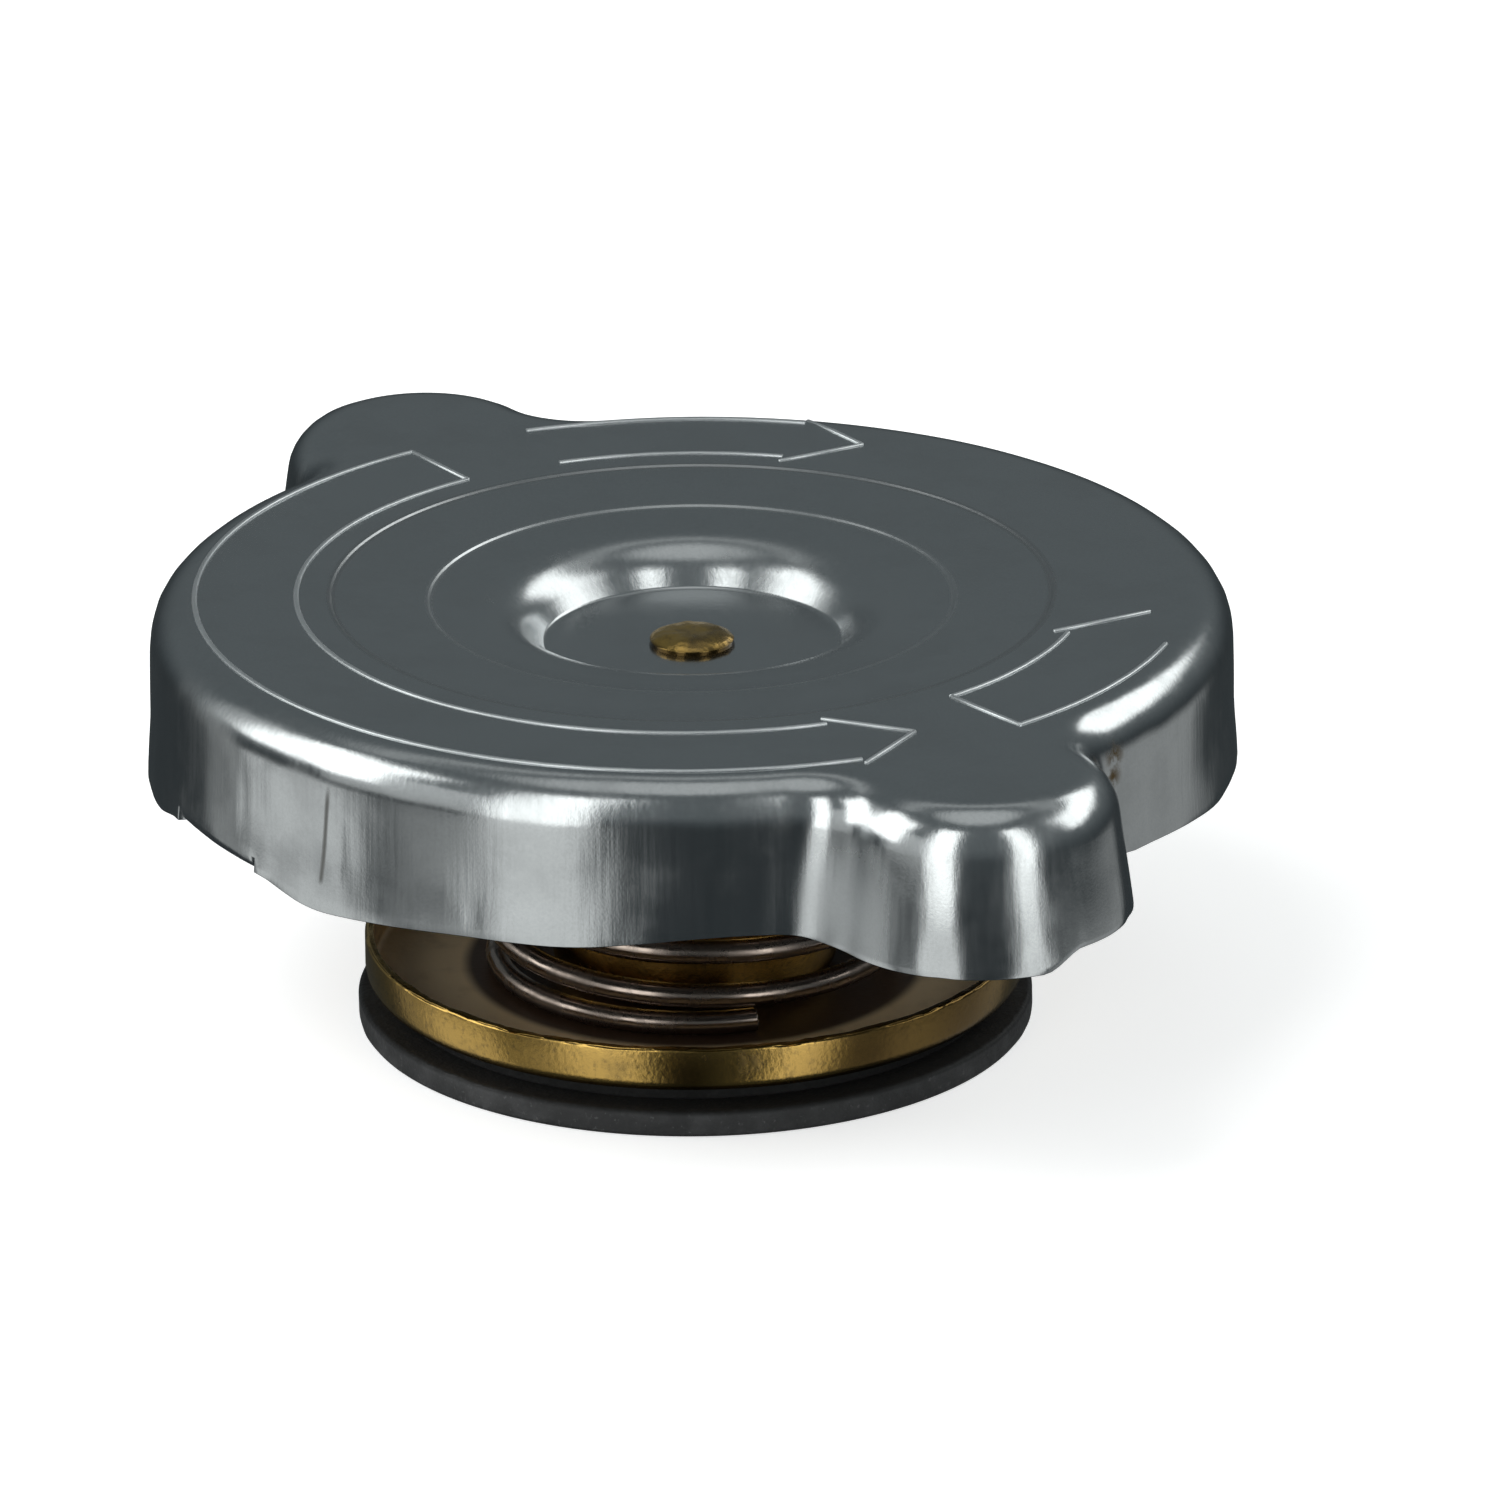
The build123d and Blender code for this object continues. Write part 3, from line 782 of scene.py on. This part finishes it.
def shell_skin():
    """Outer skin of the shell, extruded ring by ring from the rivet's hole; its thickness comes after."""
    rows = top_rows()
    walls, slit_row = wall_rows()
    slit_row += len(rows)
    rows += walls
    bm = bmesh.new()
    columns = len(rows[0])
    order = bmesh.ops.create_circle(bm, cap_ends=False, segments=columns, radius=1)["verts"]
    order.sort(key=lambda vert: atan2(vert.co.y, vert.co.x) % (2 * pi))
    for vert, place in zip(order, rows[0]):
        vert.co = place
    turns = [claw_turn(place.x, place.y) for place in rows[0]]
    edges = bm.edges[:]
    slit_faces = []
    for number, row in enumerate(rows[1:], 1):
        onward, edges = next_row(bm, edges, dict(zip(order, row)))
        if number > slit_row:
            for column in range(columns):
                beside = (column + 1) % columns
                inner, outer = sorted((turns[column], turns[beside]))
                if inner < SLIT_HALF - ANGLE_GAP and outer > CLAW_HALF + ANGLE_GAP:
                    corners = (order[column], order[beside], onward[order[column]])
                    slit_faces += set.intersection(*(set(vert.link_faces) for vert in corners))
        order = [onward[vert] for vert in order]
    claw_tabs(bm, order, edges)
    bmesh.ops.delete(bm, geom=slit_faces, context="FACES")
    bmesh.ops.recalc_face_normals(bm, faces=bm.faces)
    highest = max(bm.faces, key=lambda face: face.calc_center_median().z)
    if highest.normal.z < 0:
        bmesh.ops.reverse_faces(bm, faces=bm.faces)
    return bm


def claw_tabs(bm, order, edges):
    """Folds the claws' lower edges on inwards to flat tabs."""
    sizes = bpy.context.scene.cap_sizes
    verts = [vert for vert in order if in_claw(vert.co.x, vert.co.y)]
    chosen = set(verts)
    current = [edge for edge in edges if edge.verts[0] in chosen and edge.verts[1] in chosen]
    outer_r = sizes.wall_r + wall_push(SLIT_DEPTH)
    start = pi / 2 * EARLY_FOLD_STEPS / FOLD_STEPS
    for angle in spread(start, pi / 2, FOLD_STEPS - EARLY_FOLD_STEPS)[1:]:
        targets = {vert: fold_point(*(vert.co.xy.normalized() * outer_r), angle) for vert in verts}
        onward, current = next_row(bm, current, targets)
        verts = [onward[vert] for vert in verts]
    inner_r = sizes.wall_r - CLAW_REACH
    fold_r = outer_r - CLAW_BEND
    for share in (0.35, 0.7, 1.0):
        radius = fold_r + (inner_r - fold_r) * share
        targets = {
            vert: Vector((*(vert.co.xy.normalized() * radius), SHELL_TOP - CLAW_DEPTH)) for vert in verts}
        onward, current = next_row(bm, current, targets)
        verts = [onward[vert] for vert in verts]


def sheet_thickness(piece):
    """Gives the skin the sheet's thickness, inwards."""
    solid = piece.modifiers.new("Sheet", "SOLIDIFY")
    solid.thickness = bpy.context.scene.cap_sizes.sheet * MM
    solid.offset = -1
    solid.use_even_offset = True
    solid.use_quality_normals = True


# Stamped arrows

BAND_IN, BAND_OUT = 26.25, 33.0
BARB_IN, BARB_OUT = 25.3, 33.75

# Each arrow: tail angle, end of its lines, angle and radius of its tip, closed tail, radii of its barbs
ARROWS = [
    (185.5, 349.8, 359.2, 30.0, True, (BARB_IN, BARB_OUT)),
    (170.3, 136.7, 127.5, 30.0, False, (BARB_IN, BARB_OUT)),
    (10.5, 41.2, 51.4, 30.7, True, (BARB_IN,)),
]
ARC_STEPS_PER_DEGREE = 0.8

# A straight line's overlap at each end as a share of its width, and the lines' unevenness
RIDGE_OVERLAP = 0.15
LINE_SWELL = (0.02, 1.3, 2.0)


def top_drop(x, y):
    """How far the top lies below its flat height where it rounds over to the skirt."""
    sizes = bpy.context.scene.cap_sizes
    over = hypot(x, y) - (sizes.wall_r - sizes.top_round)
    at_ear = abs(x) > EAR_FROM and abs(y) < sizes.ear_r + sizes.ear_blend
    if over <= 0 or at_ear:
        return 0
    return sizes.top_round - sqrt(sizes.top_round ** 2 - over ** 2)


def on_top(radius, angle):
    """Point of the flat top, from a radius and an angle in degrees."""
    return Vector((radius * cos(radians(angle)), radius * sin(radians(angle)), SHELL_TOP))


def ridge(bm, start, end):
    """Straight stamped line: a low rounded bar that runs into the sheet at both ends."""
    sizes = bpy.context.scene.cap_sizes
    along = end - start
    bar = bmesh.ops.create_uvsphere(bm, u_segments=12, v_segments=8, radius=0.5)["verts"]
    half = along.length / 2 + sizes.ridge_wide * RIDGE_OVERLAP
    for vert in bar:
        side = 1 if vert.co.x > 0.01 else -1 if vert.co.x < -0.01 else 0
        vert.co = Vector((vert.co.x * sizes.ridge_wide + side * (half - sizes.ridge_wide / 2),
                          vert.co.y * sizes.ridge_wide, vert.co.z * 2 * sizes.ridge_high))
    turn = Matrix.Rotation(atan2(along.y, along.x), 4, "Z")
    bmesh.ops.transform(bm, matrix=Matrix.Translation((start + end) / 2) @ turn, verts=bar)


def arc_ridge(bm, radius, first, last):
    """Stamped line along a circle, spun from a low rounded section."""
    sizes = bpy.context.scene.cap_sizes
    section = bmesh.ops.create_circle(bm, cap_ends=False, segments=12, radius=0.5)["verts"]
    bmesh.ops.scale(bm, vec=(sizes.ridge_wide, 2 * sizes.ridge_high, 1), verts=section)
    bmesh.ops.rotate(bm, cent=(0, 0, 0), matrix=Matrix.Rotation(pi / 2, 3, "X"), verts=section)
    bmesh.ops.translate(bm, vec=(radius, 0, SHELL_TOP), verts=section)
    bmesh.ops.rotate(bm, cent=(0, 0, 0), matrix=Matrix.Rotation(radians(first), 3, "Z"), verts=section)
    edges = list({edge for vert in section for edge in vert.link_edges})
    steps = max(6, round(abs(last - first) * ARC_STEPS_PER_DEGREE))
    bmesh.ops.spin(bm, geom=section + edges, cent=(0, 0, 0), axis=(0, 0, 1), dvec=(0, 0, 0),
                   angle=radians(last - first), steps=steps, use_merge=False)
    ends = [edge for edge in bm.edges if edge.is_boundary]
    bmesh.ops.holes_fill(bm, edges=ends, sides=0)


def stamped_arrows():
    """All the arrows' lines, slightly uneven, laid on the top."""
    bm = bmesh.new()
    for tail, end, tip, tip_r, closed, barbs in ARROWS:
        for radius in (BAND_IN, BAND_OUT):
            arc_ridge(bm, radius, tail, end)
        if closed:
            ridge(bm, on_top(BAND_IN, tail), on_top(BAND_OUT, tail))
        for barb in barbs:
            ridge(bm, on_top(barb, end), on_top(tip_r, tip))
    for vert in bm.verts:
        vert.co.z += uneven(vert.co, *LINE_SWELL) - top_drop(vert.co.x, vert.co.y)
    bmesh.ops.recalc_face_normals(bm, faces=bm.faces)
    return bm


# Springs

# Steps of a turn, and the parts of a turn that lie flat and that rise softly after it
TURN_STEPS = 44
FLAT_TURN, EASE_TURN = 0.3, 0.25


def climb(turn):
    """Rise of a coil after its flat end, in pitches."""
    if turn < EASE_TURN:
        return max(turn, 0) ** 2 / (2 * EASE_TURN)
    return turn - EASE_TURN / 2


def climbed(turn, turns):
    """Rise of a coil between its two flat ends, in pitches."""
    return climb(turn - FLAT_TURN) - climb(turn - (turns - FLAT_TURN - EASE_TURN))


def coil(mean_r, wire_r, low_z, high_z, turns, start, hand, sides):
    """Coil spring spun step by step from a round section; its ends lie flat on their seats."""
    bm = bmesh.new()
    section = bmesh.ops.create_circle(bm, cap_ends=False, segments=sides, radius=wire_r)["verts"]
    edges = bm.edges[:]
    bmesh.ops.rotate(bm, cent=(0, 0, 0), matrix=Matrix.Rotation(pi / 2, 3, "X"), verts=section)
    bmesh.ops.translate(bm, vec=(mean_r, 0, low_z + wire_r), verts=section)
    bmesh.ops.rotate(bm, cent=(0, 0, 0), matrix=Matrix.Rotation(radians(start), 3, "Z"), verts=section)
    steps = round(turns * TURN_STEPS)
    pitch = (high_z - low_z - 2 * wire_r) / climbed(turns, turns)
    heights = [pitch * climbed(turn, turns) for turn in spread(0, turns, steps)]
    geom = section + edges
    for step in range(steps):
        made = bmesh.ops.spin(
            bm, geom=geom, cent=(0, 0, 0), axis=(0, 0, 1), dvec=(0, 0, heights[step + 1] - heights[step]),
            angle=hand * 2 * pi * turns / steps, steps=1, use_merge=False)
        geom = made["geom_last"]
    bmesh.ops.holes_fill(bm, edges=[edge for edge in bm.edges if edge.is_boundary], sides=0)
    bmesh.ops.recalc_face_normals(bm, faces=bm.faces)
    return bm


# Turned pieces and coils

# Rivet: radii of its head, shank and closed foot, and the heights of the head's straight side and the foot
RIVET_HEAD_R, RIVET_R, RIVET_FOOT_R = 2.8, 1.9, 3.0
RIVET_SIDE, RIVET_FOOT = 0.3, 1.2

# Springs: turns, start angle in degrees and hand
MAIN_COIL = (6.75, -12, -1)
VACUUM_COIL = (6.0, 0, 1)

# Valve plate and seal: hole, sheet of the plate, steps of the seal's section
VALVE_HOLE_R = 5.1
PLATE_SHEET, PLATE_FLAT_R = 0.6, 14
SEAL_RECESS_R, SEAL_FLAT_R, SEAL_LAND_R, SEAL_RIM, SEAL_WEB = 12.6, 17, 20.3, 1.85, 0.9

# Brown places of the plate's rim: angle in degrees and radius in millimetres; the front one, at -31 degrees,
# is a painted dark reflection, the others tarnish
TARNISH_AND_REFLECTION_SPOTS = [(-31.0, 3.4), (2.0, 7.0), (24.0, 12.0), (200.0, 9.0)]


# Height, size and seed of the unevenness of the hammered head, the plate's ragged rim and the seal's edge
HAMMERED, HAMMER_SINK = (0.10, 0.9, 4.0), 0.02
RAGGED, RAGGED_SINK = [(0.07, 2.1, 1.0), (0.06, 0.7, 6.0)], 0.06
WORN, WORN_BACK = (0.05, 2.4, 7.0), 0.05


# Operators


class CAP_OT_groups(bpy.types.Operator):
    """Builds the shader node groups that the finishes share"""
    bl_idname = "cap.groups"
    bl_label = "Shared shader groups"

    def execute(self, context):
        for made in (soft_window(), patches(), draw_marks()):
            GROUPS[made.name] = made
        return {"FINISHED"}


class CAP_OT_shell(bpy.types.Operator):
    """Builds the pressed shell with its dish, ears, skirt and claws"""
    bl_idname = "cap.shell"
    bl_label = "Shell"

    def execute(self, context):
        bm = shell_skin()
        pressing_marks(bm)
        made = plating("Bright plating", 0.16, 0.006)
        piece = finished("pressed_shell", bm, made, "shell", stands_for=("cap_shell",))
        sheet_thickness(piece)
        edge_round(piece, 0.06, 50)
        return {"FINISHED"}


class CAP_OT_arrows(bpy.types.Operator):
    """Builds the stamped arrows on the shell's top"""
    bl_idname = "cap.arrows"
    bl_label = "Stamped arrows"

    def execute(self, context):
        # Painted highlight: the ridges' plating is lighter than the shell's, by shade.
        made = plating("Ridge plating, painted highlight", 0.36, 0.002, worn=False, metal=0.94, shade=1.3)
        finished("stamped_arrows", stamped_arrows(), made, "shell", smooth=radians(60))
        return {"FINISHED"}


class CAP_OT_rivet(bpy.types.Operator):
    """Builds the brass rivet with its hammered head"""
    bl_idname = "cap.rivet"
    bl_label = "Centre rivet"

    def execute(self, context):
        head_z = SHELL_TOP - DISH_DEPTH
        side_z = head_z + RIVET_SIDE
        foot_z = RIVET_LOW + RIVET_FOOT
        points = [
            (0, RIVET_HIGH - 0.12), (0.9, RIVET_HIGH - 0.06), (1.9, RIVET_HIGH - 0.04),
            (2.5, RIVET_HIGH - 0.3), (RIVET_HEAD_R, side_z), (RIVET_HEAD_R, head_z), (RIVET_R, head_z),
            (RIVET_R, foot_z), (RIVET_FOOT_R, foot_z), (RIVET_FOOT_R, RIVET_LOW), (0, RIVET_LOW),
        ]
        bm = lathe(softened(points, {3: 0.5, 9: 0.5}), 64, closed=False)
        for vert in bm.verts:
            if vert.co.z > head_z + 0.2:
                vert.co.z += uneven(vert.co, *HAMMERED) - HAMMER_SINK
        # Painted contact shade: the head's straight side and below are nearly black.
        made = brass("Rivet brass", 0.15, 0.42, 0.75, shade=1.2, dark_below=side_z)
        finished("rivet", bm, made, "carrier", stands_for=("center_rivet",))
        return {"FINISHED"}


class CAP_OT_springs(bpy.types.Operator):
    """Builds the main spring and the vacuum valve's light spring"""
    bl_idname = "cap.springs"
    bl_label = "Springs"

    def execute(self, context):
        sizes = context.scene.cap_sizes
        wire_r = sizes.wire_d / 2
        bm = coil(SPRING_R - wire_r, wire_r, SPRING_LOW, SPRING_HIGH, *MAIN_COIL, sides=18)
        made = steel("Oiled spring steel", tuple(context.scene.cap_colours.spring), 0.17, 0.003)
        main = finished("main_coil", bm, made, "carrier", stands_for=("main_spring",))
        edge_round(main, 0.12, 60)
        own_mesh(main)
        fine_r = sizes.vacuum_wire_d / 2
        bm = coil(VACUUM_R - fine_r, fine_r, VACUUM_LOW, VACUUM_HIGH, *VACUUM_COIL, sides=10)
        made = steel("Bright spring wire", (0.5, 0.5, 0.5), 0.22, 0.002)
        fine = finished("vacuum_coil", bm, made, "pressure_valve", stands_for=("vacuum_spring",))
        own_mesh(fine)
        return {"FINISHED"}


class CAP_OT_plate(bpy.types.Operator):
    """Builds the brass valve plate with its uneven trimmed rim"""
    bl_idname = "cap.plate"
    bl_label = "Valve plate"

    def execute(self, context):
        inner_r = PLATE_R - PLATE_SHEET
        floor_z = PLATE_LOW + PLATE_SHEET
        points = [
            (VALVE_HOLE_R, PLATE_LOW), (PLATE_FLAT_R, PLATE_LOW), (PLATE_R, PLATE_LOW),
            (PLATE_R, PLATE_LOW + 1.7), (PLATE_R, PLATE_HIGH), (inner_r, PLATE_HIGH),
            (inner_r, PLATE_LOW + 1.9), (inner_r, floor_z), (PLATE_FLAT_R, floor_z), (VALVE_HOLE_R, floor_z),
        ]
        bm = lathe(softened(points, {2: 0.9, 4: 0.28, 7: 0.4}), 288)
        for vert in bm.verts:
            if vert.co.z > PLATE_HIGH - 0.1:
                flat = Vector((vert.co.x, vert.co.y, 0))
                vert.co.z += sum(uneven(flat, *layer) for layer in RAGGED) - RAGGED_SINK
        # Of these brown spots the front one is a painted dark reflection, the others tarnish.
        brown_marks = [
            ((PLATE_R * cos(radians(angle)), PLATE_R * sin(radians(angle)), PLATE_LOW + 1.2), radius)
            for angle, radius in TARNISH_AND_REFLECTION_SPOTS]
        # Painted shade under the spring: the plate's floor within the second dish radius is nearly black.
        made = brass("Plate brass", 0.22, 0.5, 0.85, brown_marks=brown_marks, dish=(PLATE_R - 0.62, SPRING_R + 1.3))
        piece = finished("valve_dish", bm, made, "pressure_valve", stands_for=("valve_plate",))
        edge_round(piece, 0.08)
        return {"FINISHED"}


class CAP_OT_seal(bpy.types.Operator):
    """Builds the rubber valve seal"""
    bl_idname = "cap.seal"
    bl_label = "Valve seal"

    def execute(self, context):
        web_z = SEAL_HIGH - SEAL_WEB
        points = [
            (VALVE_HOLE_R, SEAL_HIGH), (VALVE_HOLE_R, web_z), (SEAL_RECESS_R, web_z), (SEAL_RECESS_R, 0),
            (SEAL_FLAT_R, 0), (SEAL_R, 0), (SEAL_R, SEAL_RIM), (SEAL_LAND_R, SEAL_RIM),
            (SEAL_LAND_R, SEAL_HIGH),
        ]
        bm = lathe(softened(points, {5: 0.35, 6: 0.35}), 240)
        for vert in bm.verts:
            radius = hypot(vert.co.x, vert.co.y)
            if radius > SEAL_R - 0.5 and vert.co.z > 0.1:
                inward = WORN_BACK + uneven(vert.co, *WORN)
                vert.co.x *= 1 - inward / radius
                vert.co.y *= 1 - inward / radius
        # Painted shade under the plate's rim on the seal's top.
        made = rubber("Seal rubber", dark_above=SEAL_RIM - 0.15)
        finished("seal_ring", bm, made, "pressure_valve", stands_for=("valve_seal",))
        return {"FINISHED"}


class CAP_OT_inner(bpy.types.Operator):
    """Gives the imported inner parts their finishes"""
    bl_idname = "cap.inner"
    bl_label = "Inner parts"

    def execute(self, context):
        dull = brass("Bell brass", 0.26, 0.52, 0.95)
        dark_rubber = rubber("Gasket rubber", 0.9)
        bright = steel("Plain steel", (0.45, 0.45, 0.44), 0.3, 0.003)
        finishes = {
            dull: ("bell_housing", "valve_guide", "valve_eyelet", "vacuum_valve", "vacuum_retainer"),
            dark_rubber: ("upper_gasket", "vacuum_seal"),
            bright: (
                "swivel_washer", "spring_disc", "gasket_retainer", "rivet_washer", "seal_washer",
                "vacuum_spring_seat"),
        }
        for made, names in finishes.items():
            for name in names:
                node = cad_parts[name]
                node.data.materials.clear()
                node.data.materials.append(made)
        return {"FINISHED"}


# Camera as read from the photo: angles, distance, lens and the axis's place in the picture
AZIMUTH = radians(60.3)
ELEVATION = radians(21.33)
ROLL = radians(-0.48)
DISTANCE = 1000.0
OFFSET_X, OFFSET_Y = -3.8, 10.7
FOCAL_PIXELS, PICTURE = 15059.0, 1500.0
SENSOR = 36.0
TOWARDS = Vector((sin(AZIMUTH), -cos(AZIMUTH), 0))
RIGHTWARDS = Vector((cos(AZIMUTH), sin(AZIMUTH), 0))

# Softboxes by direction, in degrees: middle, half width, low, high, softness, strength
WINDOWS = [
    (-90, 24, 4, 54, 8, 1.9),
    (-32, 15, -11, 58, 6, 1.9),
    (37, 13, -11, 58, 6, 1.9),
    (114, 37, 18, 50, 8, 1.7),
    (0, 240, 66, 100, 10, 0.42),
    (180, 70, 48, 66, 10, 0.3),
    (-65, 20, -10, 34, 6, 0.42),
    (-90, 22, -48, -8, 10, 0.68),
    (-117, 10, -48, 40, 8, 0.28),
    (-32, 19, -50, -4, 9, 0.80),
    (38, 15, -50, -4, 9, 1.0),
    (104, 36, -48, -6, 12, 0.30),
    (-56, 14, -50, -10, 9, 0.28),
    (68, 16, -50, -6, 9, 0.22),
]


ROOM_LOW, ROOM_HIGH = (0.78, 0.93, 1.0), (0.84, 0.96, 1.0)
SOFTBOX = (0.98, 1.0, 0.98, 1)

# Key lamp: size, power and place in metres, and the floor's half size and its gap below the seal
KEY_SIZE, KEY_POWER = 0.7, 5.0
KEY_PLACE = TOWARDS * 0.35 - RIGHTWARDS * 0.45 + Vector((0, 0, 0.9))
FLOOR_HALF, FLOOR_GAP = 4.0, 0.05
FLOOR_GLOW = 0.62


def studio_world():
    """Grey room with softboxes; the camera itself sees a white backdrop."""
    world = bpy.data.worlds.new("Studio")
    world.use_nodes = True
    tree = world.node_tree
    tree.nodes.clear()
    way = wire_up(tree, "ShaderNodeTexCoord").outputs["Generated"]
    sideways, forward = (distance_along(tree, way, axis) for axis in (RIGHTWARDS, TOWARDS))
    azimuth = maths(tree, "DEGREES", maths(tree, "ARCTAN2", sideways, forward))
    elevation = maths(tree, "DEGREES", maths(tree, "ARCSINE", height_of(tree, way)))
    dark = ranged(tree, elevation, 0.045, 0.1425, from_low=-12, from_high=18)
    tint = blended(tree, ranged(tree, elevation, 0, 1, from_low=-5, from_high=12), ROOM_LOW, ROOM_HIGH)
    lights = []
    for middle, half, low, high, soft, strength in WINDOWS:
        mask = placed(tree, GROUPS["Soft window"], Azimuth=azimuth, Elevation=elevation, Middle=float(middle),
                      Half_width=float(half), Low=float(low), High=float(high), Soft=float(soft))["Mask"]
        lights.append(maths(tree, "MULTIPLY", mask, strength))
    seen = wire_up(tree, "ShaderNodeLightPath").outputs["Is Camera Ray"]
    room = wire_up(tree, "ShaderNodeBackground", {"Color": tint, "Strength": dark})
    light = chained(tree, "ADD", *lights)
    boxes = wire_up(tree, "ShaderNodeBackground", {"Color": SOFTBOX, "Strength": light})
    lit = wire_up(tree, "ShaderNodeAddShader", {0: room.outputs[0], 1: boxes.outputs[0]})
    white = wire_up(tree, "ShaderNodeBackground", {"Color": (1, 1, 1, 1), "Strength": 1})
    both = wire_up(tree, "ShaderNodeMixShader", {0: seen, 1: lit.outputs[0], 2: white.outputs[0]})
    wire_up(tree, "ShaderNodeOutputWorld", {0: both.outputs[0]})
    return world


def floor_material():
    """Pale floor that keeps the shadow, lifted to white for the camera and clear from below."""
    made, tree, shader, place = material("Studio floor", Roughness=0.9, Specular_IOR_Level=0.0)
    colour = tuple(bpy.context.scene.cap_colours.floor)
    pale = blended(tree, cloud(tree, place, 60, 2), colour, tuple(value * 0.99 for value in colour))
    tree.links.new(pale, shader.inputs["Base Color"])
    seen = wire_up(tree, "ShaderNodeLightPath").outputs["Is Camera Ray"]
    shader.inputs["Emission Color"].default_value = (1, 1, 1, 1)
    tree.links.new(maths(tree, "MULTIPLY", seen, FLOOR_GLOW), shader.inputs["Emission Strength"])
    below = wire_up(tree, "ShaderNodeNewGeometry").outputs["Backfacing"]
    clear = wire_up(tree, "ShaderNodeBsdfTransparent")
    either = wire_up(tree, "ShaderNodeMixShader", {0: below, 1: shader.outputs[0], 2: clear.outputs[0]})
    tree.links.new(either.outputs[0], tree.nodes["Material Output"].inputs["Surface"])
    return made


class CAP_OT_stage(bpy.types.Operator):
    """Sets floor, studio light and camera"""
    bl_idname = "cap.stage"
    bl_label = "Stage"

    def execute(self, context):
        scene = context.scene
        scene.view_settings.view_transform = "Standard"
        scene.world = studio_world()
        bm = bmesh.new()
        bmesh.ops.create_grid(bm, x_segments=8, y_segments=8, size=FLOOR_HALF)
        bmesh.ops.translate(bm, vec=(0, 0, -FLOOR_GAP * MM), verts=bm.verts)
        mesh = bpy.data.meshes.new("floor")
        bm.to_mesh(mesh)
        bm.free()
        mesh.materials.append(floor_material())
        floor = bpy.data.objects.new("floor", mesh)
        scene.collection.objects.link(floor)
        floor.visible_glossy = False
        self.key_light(scene)
        self.camera(scene)
        return {"FINISHED"}

    def key_light(self, scene):
        """One large soft lamp above, towards the camera and to its left."""
        lamp = bpy.data.lights.new("key", "AREA")
        lamp.shape = "DISK"
        lamp.size = KEY_SIZE
        lamp.energy = KEY_POWER
        key = bpy.data.objects.new("key", lamp)
        key.location = KEY_PLACE
        key.rotation_euler = (-KEY_PLACE).to_track_quat("-Z", "Y").to_euler()
        key.visible_camera = False
        key.visible_glossy = False
        scene.collection.objects.link(key)

    def camera(self, scene):
        """Camera at the photo's angle, distance and framing."""
        view = -TOWARDS * cos(ELEVATION) - Vector((0, 0, sin(ELEVATION)))
        up = RIGHTWARDS.cross(view)
        middle = Vector((0, 0, SHELL_TOP)) - view * DISTANCE - RIGHTWARDS * OFFSET_X - up * OFFSET_Y
        across = RIGHTWARDS * cos(ROLL) + up * sin(ROLL)
        upward = up * cos(ROLL) - RIGHTWARDS * sin(ROLL)
        data = bpy.data.cameras.new("photo camera")
        data.sensor_width = SENSOR
        data.lens = FOCAL_PIXELS / PICTURE * SENSOR
        data.clip_start, data.clip_end = 0.05, 20
        camera = bpy.data.objects.new("photo camera", data)
        turn = Matrix((across, upward, -view)).transposed().to_4x4()
        camera.matrix_world = Matrix.Translation(middle * MM) @ turn
        scene.collection.objects.link(camera)
        scene.camera = camera


class CAP_PT_panel(bpy.types.Panel):
    """Lists the cap's sizes, colours and pieces"""
    bl_idname = "CAP_PT_panel"
    bl_label = "Tank cap"
    bl_space_type = "VIEW_3D"
    bl_region_type = "UI"
    bl_category = "Tank cap"

    def draw(self, context):
        for settings in (context.scene.cap_sizes, context.scene.cap_colours):
            for label in settings.bl_rna.properties.keys():
                if label not in ("rna_type", "name"):
                    self.layout.prop(settings, label)
        for operator in STEPS:
            self.layout.operator(operator.bl_idname)


STEPS = [
    CAP_OT_groups, CAP_OT_shell, CAP_OT_arrows, CAP_OT_rivet, CAP_OT_springs, CAP_OT_plate, CAP_OT_seal,
    CAP_OT_inner, CAP_OT_stage,
]
CLASSES = [CapSizes, CapColours, *STEPS, CAP_PT_panel]


def register():
    for item in CLASSES:
        bpy.utils.register_class(item)
    bpy.types.Scene.cap_sizes = bpy.props.PointerProperty(type=CapSizes)
    bpy.types.Scene.cap_colours = bpy.props.PointerProperty(type=CapColours)


def unregister():
    del bpy.types.Scene.cap_sizes
    del bpy.types.Scene.cap_colours
    for item in reversed(CLASSES):
        bpy.utils.unregister_class(item)


def main():
    """Registers the classes, builds every piece and the stage, and keeps the sizes."""
    register()
    bpy.ops.cap.groups()
    bpy.ops.cap.shell()
    bpy.ops.cap.arrows()
    bpy.ops.cap.rivet()
    bpy.ops.cap.springs()
    bpy.ops.cap.plate()
    bpy.ops.cap.seal()
    bpy.ops.cap.inner()
    bpy.ops.cap.stage()
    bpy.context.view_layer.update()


if __name__ == "__main__":
    main()
